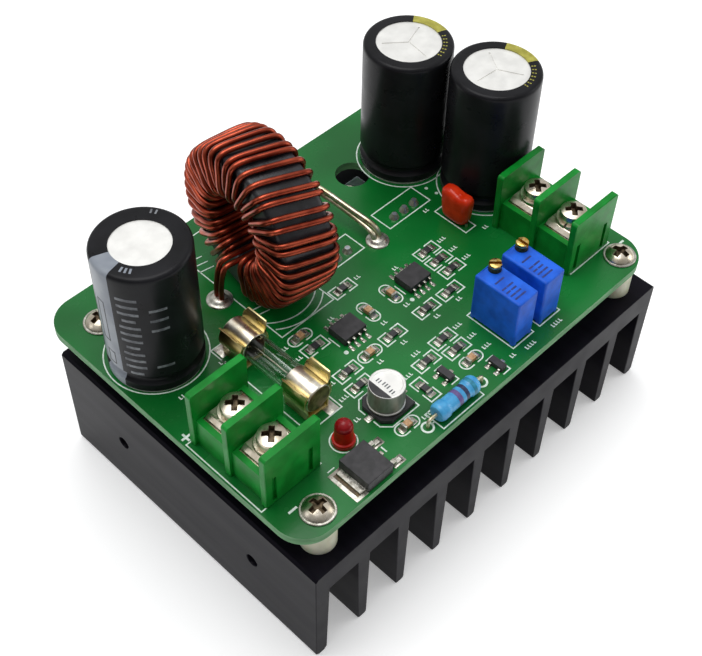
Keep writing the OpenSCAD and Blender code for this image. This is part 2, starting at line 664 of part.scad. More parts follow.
module contact(p) color("#cfc7b0") on_board(p) {
    difference() {
        translate([-contact_l / 2, -contact_w / 2, contact_z]) cube([contact_l, contact_w, contact_t]);
        translate([0, 0, contact_z - over]) cylinder(d = screw_d + 2 * screw_play, h = contact_t + 2 * over);
    }
    translate([contact_pin_x, 0, -board_t - lead_out])
        cylinder(d = contact_pin_d, h = contact_z + board_t + lead_out + contact_t / 2);
}

module clamp(p) color("#e2dccb") on_board(p) difference() {
    half = clamp_l / 2;
    translate([0, clamp_w / 2, clamp_z]) rotate([90, 0, 0]) linear_extrude(clamp_w)
        polygon([[-half, 0], [half, 0], [half, clamp_t / 3], [half - clamp_slope, clamp_t],
            [clamp_slope - half, clamp_t], [-half, clamp_t / 3]]);
    translate([0, 0, clamp_z - over]) cylinder(d = screw_d, h = clamp_t + 2 * over);
}

clamp_head_turn = 45;
module clamp_screw(p) color("#d9d3c4") on_board(p) translate([0, 0, clamp_z + clamp_t]) {
    cylinder(d = lock_d, h = lock_t);
    translate([0, 0, lock_t]) rotate(clamp_head_turn)
        screw_head(clamp_head_d, clamp_head_h, 0.25 * clamp_head_h);
    translate([0, 0, -clamp_t - clamp_screw_l]) cylinder(d = screw_d, h = clamp_t + clamp_screw_l + lock_t);
}

module input_terminal_housing() terminal_housing(block_in_at);
module input_contact_1() contact(terminal_at(block_in_at, 1));
module input_contact_2() contact(terminal_at(block_in_at, -1));
module input_clamp_1() clamp(terminal_at(block_in_at, 1));
module input_clamp_2() clamp(terminal_at(block_in_at, -1));
module input_screw_1() clamp_screw(terminal_at(block_in_at, 1));
module input_screw_2() clamp_screw(terminal_at(block_in_at, -1));
module output_terminal_housing() terminal_housing(block_out_at);
module output_contact_1() contact(terminal_at(block_out_at, 1));
module output_contact_2() contact(terminal_at(block_out_at, -1));
module output_clamp_1() clamp(terminal_at(block_out_at, 1));
module output_clamp_2() clamp(terminal_at(block_out_at, -1));
module output_screw_1() clamp_screw(terminal_at(block_out_at, 1));
module output_screw_2() clamp_screw(terminal_at(block_out_at, -1));

// Places a round piece that lies along the fuse
module along_fuse(y) on_board(fuse_mid) translate([0, y, fuse_z]) rotate([-90, 0, 0]) children();

glass_d = fuse_d - 2 * fuse_cap_wall;
glass_l = fuse_l - 2 * fuse_cap_wall;

module fuse_tube() color("#dfe8e6") along_fuse(-glass_l / 2) difference() {
    cylinder(d = glass_d, h = glass_l);
    translate([0, 0, -over]) cylinder(d = glass_d - 2 * glass_wall, h = glass_l + 2 * over);
}

module fuse_wire() color("#c8b8a0") along_fuse(-glass_l / 2) cylinder(d = fuse_wire_d, h = glass_l);

module fuse_cap(s) color("#d8d0bc") along_fuse(0) rotate([s > 0 ? 0 : 180, 0, 0])
    translate([0, 0, fuse_l / 2 - fuse_cap_l]) difference() {
        cylinder(d = fuse_d, h = fuse_cap_l);
        translate([0, 0, -over]) cylinder(d = glass_d, h = fuse_cap_l - fuse_cap_wall + over);
    }
module fuse_cap_1() fuse_cap(1);
module fuse_cap_2() fuse_cap(-1);

clip_grip = [-38, 40];
clip_flare = [0.95, 1.6];
clip_chamfer = 0.8;
clip_steps = 8;
// Outline of one arm, from the foot round the fuse to the flared lip, in the fuse's own section
module clip_arm_outline() {
    grip = [for (i = [0 : clip_steps]) clip_grip[0] + i * (clip_grip[1] - clip_grip[0]) / clip_steps];
    inner = [for (a = grip) clip_r / cos((clip_grip[1] - clip_grip[0]) / clip_steps / 2) * [cos(a), sin(a)]];
    outer = [for (a = grip) (clip_r + clip_t + clip_play) * [cos(a), sin(a)]];
    foot_x = clip_foot_w / 2;
    lip = inner[clip_steps] + clip_flare;
    lip_out = outer[clip_steps] + clip_flare - [0, clip_t / 2];
    polygon(concat([[foot_x - clip_t, -fuse_z]], inner, [lip, lip_out],
        [for (i = [clip_steps : -1 : 0]) outer[i]], [[foot_x, -fuse_z]]));
}

module fuse_clip(e) color("#c9a24a") {
    lip_z = fuse_z + clip_r * sin(clip_grip[1]) + clip_flare[1];
    half = clip_l / 2;
    on_board(fuse_mid + [0, e * clip_at_y]) intersection() {
        translate([0, half, fuse_z]) rotate([90, 0, 0]) linear_extrude(clip_l) {
            for (m = [0, 1]) mirror([m, 0]) clip_arm_outline();
            translate([-clip_foot_w / 2, -fuse_z]) square([clip_foot_w, clip_t]);
        }
        rotate([90, 0, 90]) translate([0, 0, -fuse_d]) linear_extrude(2 * fuse_d)
            polygon([[-half, 0], [half, 0], [half, lip_z - clip_chamfer], [half - clip_chamfer, lip_z + over],
                [clip_chamfer - half, lip_z + over], [-half, lip_z - clip_chamfer]]);
    }
    on_board(fuse_mid + [0, e * clip_at_y]) for (s = [-1, 1]) translate([0, s * clip_pin_y, -board_t - lead_out])
        cylinder(d = clip_pin_d, h = board_t + lead_out + clip_t / 2);
}
module fuse_clip_1() fuse_clip(1);
module fuse_clip_2() fuse_clip(-1);

// Space for an adjusting screw with its collar, or the screw itself when grow is 0
module trim_shaft(grow, above) {
    r = trim_screw_d / 2 + grow;
    translate([0, 0, trim_h - trim_screw_depth - grow]) cylinder(r = r, h = trim_screw_depth + above + grow);
    translate([0, 0, trim_h - trim_screw_depth - grow])
        cylinder(r = r + trim_collar, h = trim_collar_t + 2 * grow);
}

module trimmer_body(p) color("#2f66d8") on_board(p) {
    difference() {
        translate([-trim_w / 2, -trim_l / 2, trim_foot]) cube([trim_w, trim_l, trim_h - trim_foot]);
        translate(trim_screw_shift) trim_shaft(trim_clear, over);
    }
    foot = 0.8;
    for (x = [-1, 1], y = [-1, 1])
        translate([x * (trim_w - foot) / 2, y * (trim_l - foot) / 2, (trim_foot + over) / 2])
        cube([foot, foot, trim_foot + over], center = true);
    for (y = trim_pin_y) translate([0, y, -board_t - lead_out])
        cylinder(d = trim_pin_d, h = board_t + lead_out + trim_foot + over);
}

trim_slot_w = 0.5;
trim_slot_depth = 0.6;
module trimmer_screw(p, slot_turn) color("#d9a53c") on_board(p) translate(trim_screw_shift) difference() {
    trim_shaft(0, trim_screw_h);
    rotate(slot_turn) translate([-trim_screw_d, -trim_slot_w / 2, trim_h + trim_screw_h - trim_slot_depth])
        cube([2 * trim_screw_d, trim_slot_w, trim_slot_depth + over]);
}

module current_trimmer_body() trimmer_body(trim_places[0]);
module voltage_trimmer_body() trimmer_body(trim_places[1]);
module current_trimmer_screw() trimmer_screw(trim_places[0], -45);
module voltage_trimmer_screw() trimmer_screw(trim_places[1], 90);

module film_capacitor() color("#d9331c") on_board(film_at) {
    r = film_t / 2;
    y = film_w / 2 - r;
    z = [r, film_h - r];
    translate([-r, -y, z[0]]) cube([film_t, 2 * y, z[1] - z[0]]);
    for (s = [-1, 1]) translate([0, s * y, z[0]]) cylinder(r = r, h = z[1] - z[0]);
    for (h = z) translate([0, -y, h]) rotate([-90, 0, 0]) cylinder(r = r, h = 2 * y);
    for (s = [-1, 1], h = z) translate([0, s * y, h]) sphere(r);
    for (s = [-1, 1]) translate([0, s * film_lead, -board_t - lead_out])
        cylinder(d = thin_lead_d, h = board_t + lead_out + r);
}

can_edge_r = 0.5;
module surface_capacitor_can() color("#d0d0cc") on_board(can_at) translate([0, 0, can_base_t]) rotate_extrude() {
    h = can_h - can_base_t;
    square([can_d / 2 - can_edge_r, h]);
    translate([0, can_edge_r]) square([can_d / 2, h - 2 * can_edge_r]);
    for (z = [can_edge_r, h - can_edge_r]) translate([can_d / 2 - can_edge_r, z]) circle(can_edge_r);
}

can_base_cut = 1.3;
can_tab = [0.9, 0.7, 0.2];
module surface_capacitor_base() color("#1c1c1e") on_board(can_at) {
    b = can_base / 2;
    linear_extrude(can_base_t) polygon([[-b, -b + can_base_cut], [can_base_cut - b, -b], [b, -b], [b, b],
        [can_base_cut - b, b], [-b, b - can_base_cut]]);
    for (s = [-1, 1]) translate([s * b, 0, can_tab[2] / 2])
        cube([2 * can_tab[0], can_tab[1], can_tab[2]], center = true);
}

lamp_flange = [0.4, 0.9];
module indicator_lamp() color("#a50f12") on_board(lamp_at) {
    cylinder(r = lamp_d / 2 + lamp_flange[0], h = lamp_flange[1]);
    cylinder(d = lamp_d, h = lamp_h - lamp_d / 2);
    translate([0, 0, lamp_h - lamp_d / 2]) sphere(d = lamp_d);
    for (s = [-1, 1]) translate([0, s * lamp_lead, -board_t - lead_out])
        cylinder(d = thin_lead_d, h = board_t + lead_out + lamp_flange[1] / 2);
}

res_end_l = 1.9;
res_waist = 0.2;
module axial_resistor() color("#3aa0d8") on_board(res_at) {
    r = res_d / 2;
    half = res_l / 2;
    translate([0, 0, r]) rotate([0, 90, 0]) rotate_extrude() polygon([[0, -half], [r - res_waist, -half],
        [r, res_waist - half], [r, res_end_l - half], [r - res_waist, res_end_l + res_waist - half],
        [r - res_waist, half - res_end_l - res_waist], [r, half - res_end_l], [r, half - res_waist],
        [r - res_waist, half], [0, half]]);
    for (s = [-1, 1]) {
        translate([s * res_pitch / 2, 0, -board_t - lead_out])
            cylinder(d = thin_lead_d, h = board_t + lead_out + r);
        translate([s * res_pitch / 2, 0, r]) sphere(d = thin_lead_d);
    }
    translate([-res_pitch / 2, 0, r]) rotate([0, 90, 0]) cylinder(d = thin_lead_d, h = res_pitch);
}

// Bent lead: leaves the body at height z, steps down and ends in a foot; it points along +x from x = 0
reg_lead_w = 0.8;
reg_lead_t = 0.45;
reg_lead_z = 1;
reg_lead_out = 1.3;
reg_lead_foot = 1.2;
chip_8_lead_w = 0.42;
chip_8_lead_t = 0.2;
chip_8_lead_z = 0.9;
chip_8_lead_out = 0.5;
chip_8_lead_foot = 0.6;
sot_lead_w = 0.42;
sot_lead_t = 0.14;
sot_lead_z = 0.5;
sot_lead_out = 0.25;
sot_lead_foot = 0.35;
module gull_lead(w, t, z, out, foot) {
    translate([-over, -w / 2, z - t / 2]) cube([out + over, w, t]);
    translate([out - t, -w / 2, 0]) cube([t, w, z + t / 2]);
    translate([out - t, -w / 2, 0]) cube([foot + t, w, t]);
}

reg_body = [5.4, 6.3, 2.2];
reg_tab = [1.2, 5.2, 0.5];
reg_lead_y = 2.3;
reg_stub = 0.9;
module regulator() color("#2b2b2d") on_board(regulator_at) {
    translate([-reg_body[0] / 2, -reg_body[1] / 2, 0]) cube(reg_body);
    translate([-reg_body[0] / 2 - reg_tab[0], -reg_tab[1] / 2, 0])
        cube([reg_tab[0] + over, reg_tab[1], reg_tab[2]]);
    for (s = [-1, 1]) translate([reg_body[0] / 2, s * reg_lead_y, 0])
        gull_lead(reg_lead_w, reg_lead_t, reg_lead_z, reg_lead_out, reg_lead_foot);
    translate([reg_body[0] / 2 - over, -reg_lead_w / 2, reg_lead_z - reg_lead_t / 2])
        cube([reg_stub + over, reg_lead_w, reg_lead_t]);
}

chip_8_body = [4.9, 3.9, 1.6];
chip_8_pitch = 1.27;
module chip_8(p) color("#2a2a2c") on_board(p) {
    translate([-chip_8_body[0] / 2, -chip_8_body[1] / 2, 0.1]) cube(chip_8_body - [0, 0, 0.1]);
    for (s = [-1, 1], i = [-1.5 : 1.5]) translate([i * chip_8_pitch, s * chip_8_body[1] / 2, 0])
        rotate(s * 90)
            gull_lead(chip_8_lead_w, chip_8_lead_t, chip_8_lead_z, chip_8_lead_out, chip_8_lead_foot);
}
module control_chip_1() chip_8(chip_8_at[0]);
module control_chip_2() chip_8(chip_8_at[1]);

sot_body = [1.3, 2.9, 1.05];
sot_lead_y = 0.95;
module small_transistor(p) color("#2a2a2c") on_board(p) {
    translate([-sot_body[0] / 2, -sot_body[1] / 2, 0.05]) cube(sot_body - [0, 0, 0.05]);
    for (s = [-1, 1]) translate([-sot_body[0] / 2, s * sot_lead_y, 0]) rotate(180)
        gull_lead(sot_lead_w, sot_lead_t, sot_lead_z, sot_lead_out, sot_lead_foot);
    translate([sot_body[0] / 2, 0, 0])
        gull_lead(sot_lead_w, sot_lead_t, sot_lead_z, sot_lead_out, sot_lead_foot);
}
module small_transistor_1() small_transistor(transistor_at[0]);
module small_transistor_2() small_transistor(transistor_at[1]);

// Chip part with end metal that stands a little proud of its body
module chip_part(place, h) on_board(spread(place)) rotate(place[2]) {
    proud = 0.03;
    translate([-chip_l / 2, -chip_w / 2 + proud, proud]) cube([chip_l, chip_w - 2 * proud, h - 2 * proud]);
    for (s = [-1, 1]) translate([s * (chip_l - chip_end) / 2, 0, h / 2])
        cube([chip_end, chip_w, h], center = true);
}
module chip_resistors() color("#333336") for (p = chip_res_at) chip_part(p, chip_res_h);
module chip_capacitors() color("#c79a6b") for (p = chip_cap_at) chip_part(p, chip_cap_h);

// Power package lying on its tab: the origin is on the seat, at the middle of the edge where the leads leave
module power_package(x) color("#2b2b2d") framed() translate([board_dx + x, board_dy + pack_edge_y, pack_z]) {
    translate([-pack_w / 2, 0, 0]) cube([pack_w, pack_body_l, pack_t]);
    difference() {
        translate([-pack_w / 2, pack_body_l - over, 0]) cube([pack_w, pack_l - pack_body_l + over, tab_t]);
        translate([0, pack_l - tab_hole_in, -over])
            cylinder(d = screw_d + 4 * screw_play, h = tab_t + 2 * over);
    }
    for (i = [-1 : 1]) translate([i * pack_lead_pitch, -pack_bend, pack_lead_z]) {
        rotate([-90, 0, 0]) cylinder(d = pack_lead_d, h = pack_bend + over);
        sphere(d = pack_lead_d);
        cylinder(d = pack_lead_d, h = board_top - pack_z - pack_lead_z + joint_h);
    }
}
module power_transistor() power_package(pack_x[0]);
module rectifier() power_package(pack_x[1]);

module insulating_pad(x) color("#c9c3b4") framed() difference() {
    translate([board_dx + x - pack_w / 2 - pad_margin, board_dy + pack_edge_y - pad_margin / 2, sink_h])
        cube([pack_w + 2 * pad_margin, pack_l + pad_margin, pad_t]);
    translate([board_dx + x, board_dy + pack_screw_y, sink_h - over])
        cylinder(d = screw_d + 2 * screw_play, h = pad_t + 2 * over);
}
module transistor_pad() insulating_pad(pack_x[0]);
module rectifier_pad() insulating_pad(pack_x[1]);

module package_screws() color("#d9d3c4") framed() for (p = pack_screw_at)
    translate([p[0], p[1], pack_z + tab_t]) pan_screw(pad_t + tab_t + screw_depth);

// Fillet of solder round a lead, hanging under the board
module joint_under(p) translate([p[0], p[1], -board_t]) difference() {
    translate([0, 0, -joint_h]) cylinder(r1 = p[2] / 2 + 0.1, r2 = p[2] / 2 + joint_r, h = joint_h);
    translate([0, 0, -joint_h - over]) cylinder(d = p[2], h = joint_h + 2 * over);
}

// Solder that fills an inductor pad's hole round both strands, with a land and a mound on top, a fillet below
module coil_joint(p, step, d) translate(p) difference() {
    union() {
        cylinder(d1 = d, d2 = d - coil_land_h, h = coil_land_h);
        cylinder(d1 = 0.8 * d, d2 = coil_hole_d + 0.2, h = coil_solder_h);
        translate([0, 0, -board_t - over / 2]) cylinder(d = coil_hole_d, h = board_t + over);
        translate([0, 0, -board_t - joint_h]) cylinder(d1 = coil_hole_d + 0.2, d2 = d, h = joint_h);
    }
    for (s = [-1, 1]) translate([s * half_gap * step[0], s * half_gap * step[1], -2 * board_t])
        cylinder(d = wire_d, h = 4 * board_t);
}

module solder_joints() color("#d5d5d2") on_board([0, 0]) {
    for (p = board_leads) joint_under(p);
    for (p = pack_leads) translate([p[0], p[1], 0]) difference() {
        cylinder(r1 = p[2] / 2 + joint_r, r2 = p[2] / 2 + 0.1, h = joint_h);
        translate([0, 0, -over]) cylinder(d = p[2], h = joint_h + 2 * over);
    }
    coil_joint(pad_1_at, [0, 1], coil_pad_d[0]);
    coil_joint(pad_2_at, [1, 0], coil_pad_d[1]);
}

heatsink();
circuit_board();
board_spacers();
board_screws();
input_capacitor_can();
input_capacitor_sleeve();
rear_output_capacitor_can();
rear_output_capacitor_sleeve();
front_output_capacitor_can();
front_output_capacitor_sleeve();
inductor_core();
inductor_winding_1();
inductor_winding_2();
input_terminal_housing();
input_contact_1();
input_contact_2();
input_clamp_1();
input_clamp_2();
input_screw_1();
input_screw_2();
output_terminal_housing();
output_contact_1();
output_contact_2();
output_clamp_1();
output_clamp_2();
output_screw_1();
output_screw_2();
fuse_tube();
fuse_cap_1();
fuse_cap_2();
fuse_wire();
fuse_clip_1();
fuse_clip_2();
current_trimmer_body();
voltage_trimmer_body();
current_trimmer_screw();
voltage_trimmer_screw();
film_capacitor();
surface_capacitor_can();
surface_capacitor_base();
indicator_lamp();
axial_resistor();
regulator();
control_chip_1();
control_chip_2();
small_transistor_1();
small_transistor_2();
chip_resistors();
chip_capacitors();
power_transistor();
rectifier();
transistor_pad();
rectifier_pad();
package_screws();
solder_joints();
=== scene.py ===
import math

import bmesh
import bpy
from mathutils import Matrix, Vector


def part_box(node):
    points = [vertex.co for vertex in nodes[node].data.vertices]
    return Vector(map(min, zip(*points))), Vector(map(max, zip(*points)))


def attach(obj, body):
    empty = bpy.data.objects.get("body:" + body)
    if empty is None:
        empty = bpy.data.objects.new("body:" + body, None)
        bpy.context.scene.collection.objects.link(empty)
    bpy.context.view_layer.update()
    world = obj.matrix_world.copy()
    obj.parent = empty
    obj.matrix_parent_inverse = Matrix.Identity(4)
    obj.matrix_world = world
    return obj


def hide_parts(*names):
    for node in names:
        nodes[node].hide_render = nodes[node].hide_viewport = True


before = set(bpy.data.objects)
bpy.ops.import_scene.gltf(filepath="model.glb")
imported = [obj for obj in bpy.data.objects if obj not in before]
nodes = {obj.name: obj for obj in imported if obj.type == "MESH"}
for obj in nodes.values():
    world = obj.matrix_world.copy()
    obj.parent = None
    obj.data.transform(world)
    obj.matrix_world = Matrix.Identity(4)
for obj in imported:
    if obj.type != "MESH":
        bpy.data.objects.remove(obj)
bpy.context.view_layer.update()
MM = 0.001

# Middle of the board's top face and half its size, in millimetres
board_low, board_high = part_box("circuit_board")
BOARD = Vector(((board_low.x + board_high.x) / 2, (board_low.y + board_high.y) / 2, board_high.z)) / MM
BOARD_HALF = Vector((board_high.x - board_low.x, board_high.y - board_low.y)) / MM / 2

# Places on the board, from its middle, as in the part's source
CAP_IN = (-33.5, 11.8)
CAP_REAR = (29.7, 16.6)
CAP_FRONT = (34.9, 1.2)
COIL = (-9.9, 11.85)
COIL_Z = 15.0
FRONT_PAD = (-18.4, 13.6)
REAR_PAD = (10.5, 4.5)
BLOCK_IN = (-35.4, -13.7)
BLOCK_OUT = (33.25, -15.7)
FUSE = (-23.3, -5.25)
FUSE_Z = 4.0
TRIMMERS = ((11.3, -23.1), (18.05, -23.1))
SURFACE_CAN = (-14.55, -21.4)
LAMP = (-24.2, -21.6)
FILM = (24.4, -1.5)
RESISTOR = (-6.7, -29.0)
RESISTOR_PITCH = 12.7
REGULATOR = (-25.6, -27.75)
CHIPS = ((-8.2, -6.6), (7.9, -6.3))
SMALL_TRANSISTORS = ((-3.5, -24.1), (4.0, -28.6))
# The power packages lie side by side at these x; the board has a screwdriver hole over each
PACKAGES = (2.4, 19.4)
ACCESS_Y = 19.5
ACCESS_R = 3.2
# Chip parts, as x, y and turn
CHIP_RESISTORS = ((14.8, -3.3, 0), (14.7, -6.2, 0), (14.8, -9.15, 0), (10.75, -12.4, 0), (4.95, -12.3, 0),
                  (-1.95, 0.75, 0), (-3.3, -12.25, 0), (1.95, -18.65, 0), (2, -21.65, 0), (-3.5, -20, 0),
                  (-7.8, -23.7, 90), (-14.7, -15.8, 0), (-14.1, -12.5, 0), (-14.2, -5.05, 0))
CHIP_CAPACITORS = ((3.05, -5.8, 90), (-2.55, -5.95, 90), (-8.8, -12.35, 0), (2, -24.8, 0),
                   (-15.05, -26.5, 0), (-14.55, -1.9, 0))
CHIP_HALF = 1.0
CHIP_END = 0.4
# Leads that go through the board: radius of a thin one, and where they end below the board's top face
LEAD_R = 0.3
LEAD_END = -2.8


# Materials

# Middle part of the noise that is stretched over two shades, or over two values of roughness
TINT_SPAN = (0.35, 0.65)
WEAR_SPAN = (0.3, 0.7)
EVEN = (1, 1, 1)


def linear(code):
    """An sRGB hex colour as linear red, green, blue and alpha."""
    parts = [int(code[i:i + 2], 16) / 255 for i in (1, 3, 5)]
    return [*(c / 12.92 if c <= 0.04045 else ((c + 0.055) / 1.055) ** 2.4 for c in parts), 1]


def put(tree, kind, inputs=None, **fields):
    """Adds a node; an input that is given a socket is linked to it."""
    node = tree.nodes.new(kind)
    for key, value in fields.items():
        setattr(node, key, value)
    for key, value in (inputs or {}).items():
        if isinstance(value, bpy.types.NodeSocket):
            tree.links.new(value, node.inputs[key])
        else:
            node.inputs[key].default_value = value
    return node


def shader_of(made):
    return made.node_tree.nodes["Principled BSDF"]


def material(name, **sockets):
    """A material with those values on its shader; tint, wear and grain put patterns on other sockets."""
    made = bpy.data.materials.new(name)
    made.use_nodes = True
    for key, value in sockets.items():
        socket = key.replace("_", " ").title().replace("Ior", "IOR")
        shader_of(made).inputs[socket].default_value = value
    return made


def lumps(tree, size, detail, stretch):
    """Noise with lumps about `size` millimetres across; a stretch above 1 draws them out along that axis."""
    place = put(tree, "ShaderNodeTexCoord").outputs["Object"]
    drawn = put(tree, "ShaderNodeMapping", {"Vector": place, "Scale": [1 / s for s in stretch]}).outputs[0]
    noise = put(tree, "ShaderNodeTexNoise", {"Vector": drawn, "Scale": 1 / (size * MM), "Detail": detail})
    return noise.outputs[0]


def tint(made, low, high, size, detail=2.0, stretch=EVEN):
    """Lets the colour wander between two shades in patches of `size` millimetres."""
    tree = made.node_tree
    share = put(tree, "ShaderNodeMapRange",
                {0: lumps(tree, size, detail, stretch), 1: TINT_SPAN[0], 2: TINT_SPAN[1]}).outputs[0]
    mix = put(tree, "ShaderNodeMix", {0: share, 6: linear(low), 7: linear(high)}, data_type="RGBA")
    tree.links.new(mix.outputs[2], shader_of(made).inputs["Base Color"])


def wear(made, low, high, size, detail=3.0, stretch=EVEN):
    """Lets the roughness wander between two values in patches of `size` millimetres."""
    tree = made.node_tree
    share = put(tree, "ShaderNodeMapRange",
                {0: lumps(tree, size, detail, stretch), 1: WEAR_SPAN[0], 2: WEAR_SPAN[1], 3: low, 4: high})
    tree.links.new(share.outputs[0], shader_of(made).inputs["Roughness"])


def grain(made, size, depth, detail=2.0, stretch=EVEN):
    """Raises the surface in lumps of `size` millimetres by about `depth` millimetres."""
    tree = made.node_tree
    height = lumps(tree, size, detail, stretch)
    bump = put(tree, "ShaderNodeBump", {"Height": height, "Distance": depth * MM})
    tree.links.new(bump.outputs[0], shader_of(made).inputs["Normal"])


# Black anodised aluminium extrusion: the dyed oxide is nearly black and mirrors pale surroundings softly,
# with faint draw lines along the fins (real lines are finer than a pixel, so they are drawn 0.4 mm wide).
anodised = material("anodised_aluminium", ior=1.15)
tint(anodised, "#0f0d14", "#15131b", 2.5, stretch=(1, 14, 1))
wear(anodised, 0.3, 0.38, 4.0, stretch=(1, 10, 1))
grain(anodised, 0.4, 0.004, stretch=(1, 40, 1))

# Solder mask on copper-clad laminate: glossy green that mirrors its neighbours, cloudy where it is thicker.
mask = material("green_solder_mask", ior=1.45)
tint(mask, "#066022", "#0e7730", 16.0, detail=1.0)
wear(mask, 0.2, 0.3, 5.0)
grain(mask, 0.9, 0.008)

# Sawn glass-epoxy laminate: dull green edge with the weave as a faint streak.
laminate = material("glass_epoxy_edge", roughness=0.62)
tint(laminate, "#4c8552", "#70a674", 0.8, stretch=(6, 6, 1))
grain(laminate, 0.35, 0.03, stretch=(4, 4, 1))

# Epoxy marking ink, screened: matt white with a green cast at its thin edges.
ink = material("white_marking_ink", roughness=0.6)
tint(ink, "#c9dfd0", "#eef7f0", 0.7)

# Tin solder, reflowed: bright, slightly wavy silver.
solder = material("tin_solder", metallic=0.9)
tint(solder, "#9d998e", "#cbc8bf", 0.9)
wear(solder, 0.22, 0.42, 0.8)
grain(solder, 0.7, 0.03)

# Flux left beside a reflowed tab: brown and glassy.
flux = material("rosin_flux", roughness=0.3)
tint(flux, "#4a3717", "#715a2e", 0.7)

# Nickel-plated steel, tumbled: warm white metal, fairly sharp reflections.
nickel = material("nickel_plated_steel", metallic=1.0)
tint(nickel, "#c2b7a2", "#e6dccb", 1.6)
wear(nickel, 0.24, 0.36, 1.2)

# The same plating deep in a recess, painted dark brown as the recess's shade.
nickel_recess_shade = material("nickel_recess_painted_shade", roughness=0.5, metallic=0.8)
tint(nickel_recess_shade, "#3f3325", "#7a6a54", 0.6)

# Tinned contact brass: duller and warmer than the screws.
contact_metal = material("tinned_contact_brass", metallic=1.0)
tint(contact_metal, "#b4a98c", "#d8d0ba", 1.2)
wear(contact_metal, 0.25, 0.42, 1.0)

# Nylon, turned: milky white, light sinks in a little.
nylon = material("nylon", roughness=0.42, subsurface_weight=0.15, subsurface_scale=0.001)
tint(nylon, "#dadabc", "#ecebd4", 2.0)
grain(nylon, 0.5, 0.01)

# Drawn aluminium, etched: whitish and soft, with faint smears.
etched_aluminium = material("etched_aluminium", metallic=0.4)
tint(etched_aluminium, "#e7e6e2", "#f3f2ee", 2.4, detail=3.0)
wear(etched_aluminium, 0.34, 0.52, 2.0)
grain(etched_aluminium, 0.5, 0.006)

# Aluminium of the can's side: the same metal as the top, painted grey as shade, and it mirrors its dark
# surroundings softly.
aluminium_side_painted_shade = material("aluminium_side_painted_shade", metallic=0.7)
tint(aluminium_side_painted_shade, "#86857f", "#a5a49e", 1.2, stretch=(1, 1, 3))
wear(aluminium_side_painted_shade, 0.4, 0.52, 1.0)

# Heat-shrunk polyester sleeve: thin film, satin, with shallow ripples.
sleeve_black = material("shrunk_polyester_black", ior=1.23)
tint(sleeve_black, "#171719", "#202023", 5.0)
wear(sleeve_black, 0.25, 0.36, 4.0)
grain(sleeve_black, 2.6, 0.03, detail=1.0, stretch=(1, 1, 3))

# The stripe printed on the sleeve: the same film in pale blue-grey.
sleeve_stripe = material("shrunk_polyester_stripe", roughness=0.3, ior=1.28)
tint(sleeve_stripe, "#878d97", "#9ea4ab", 4.0)
grain(sleeve_stripe, 2.6, 0.03, detail=1.0, stretch=(1, 1, 3))

# Gold-coloured print on the sleeve's rim: flat olive yellow.
sleeve_gold = material("sleeve_gold_print", roughness=0.36, ior=1.5)
tint(sleeve_gold, "#97912f", "#b6b048", 1.5)

# Grey print on the sleeve: matt, half worn away.
sleeve_print = material("sleeve_grey_print", roughness=0.5)
tint(sleeve_print, "#4e5157", "#84878c", 1.0)

# Epoxy-coated powdered iron: black with a soft orange-peel.
core_coat = material("epoxy_coated_iron", roughness=0.38, ior=1.5)
tint(core_coat, "#18181b", "#2b2b30", 2.2)
grain(core_coat, 1.1, 0.05)

# Enamelled copper wire: red-brown metal under a glossy amber varnish.
enamel_wire = material("enamelled_copper", metallic=0.92, coat_weight=0.15, coat_roughness=0.2)
tint(enamel_wire, "#82301c", "#b04d33", 3.0)
wear(enamel_wire, 0.26, 0.38, 2.0)

# The same wire stripped and dipped in tin: dull silver-yellow.
tinned_wire = material("tinned_copper", roughness=0.35, metallic=0.9)
tint(tinned_wire, "#c2b795", "#e6e0c8", 1.5)

# Glass-filled polyester, moulded: saturated green, waxy sheen, lighter where light sinks into edges.
moulded_green = material("moulded_polyester_green", ior=1.3)
tint(moulded_green, "#087a24", "#0f9332", 3.5)
wear(moulded_green, 0.3, 0.42, 2.5)
grain(moulded_green, 0.6, 0.012)

# Soda-lime glass tube: clear with a little grey; it casts only a faint shadow on what lies under it.
GLASS_SHADE = 0.12
glass = material("soda_lime_glass", base_color=linear("#e6ece8"), roughness=0.03, ior=1.4,
                 transmission_weight=1.0)
shadow_ray = put(glass.node_tree, "ShaderNodeLightPath").outputs["Is Shadow Ray"]
shade_share = put(glass.node_tree, "ShaderNodeMapRange", {0: shadow_ray, 3: 1.0, 4: GLASS_SHADE})
glass.node_tree.links.new(shade_share.outputs[0], shader_of(glass).inputs["Alpha"])

# Nickel-plated brass cap: brighter than the screws.
fuse_metal = material("nickel_plated_brass", metallic=1.0)
tint(fuse_metal, "#cfc4ac", "#efe9da", 1.5)
wear(fuse_metal, 0.26, 0.32, 2.0)

# End face of the cap: the same metal painted brown and dull as the dark reflection it shows.
fuse_end = material("nickel_brass_painted_dark_reflection", roughness=0.42, metallic=0.9)
tint(fuse_end, "#6d5a3a", "#a58e66", 1.2)

# Fuse element: thin dull alloy wire.
element = material("fuse_alloy", roughness=0.35, metallic=1.0)
tint(element, "#a39c8c", "#cac4b6", 0.6)

# Spring brass strip: yellow gold, rolled, with long faint scratches.
brass_strip = material("rolled_spring_brass", metallic=1.0)
tint(brass_strip, "#c9b064", "#e8d9a4", 1.8, stretch=(1, 5, 1))
wear(brass_strip, 0.26, 0.4, 1.0, stretch=(1, 6, 1))

# Moulded thermoset, cobalt blue: fine satin with sharp colour.
trimmer_blue = material("moulded_thermoset_blue", roughness=0.44, ior=1.36)
tint(trimmer_blue, "#1055ca", "#1c6aea", 2.5)
grain(trimmer_blue, 0.35, 0.012)

# Pad print in the same hue, darker.
trimmer_print = material("dark_blue_print", roughness=0.5)
tint(trimmer_print, "#0e2166", "#1a348a", 0.5)

# Turned brass screw: bright gold with tool marks.
turned_brass = material("turned_brass", metallic=1.0)
tint(turned_brass, "#cda148", "#f0d086", 0.7)
wear(turned_brass, 0.16, 0.32, 0.5)
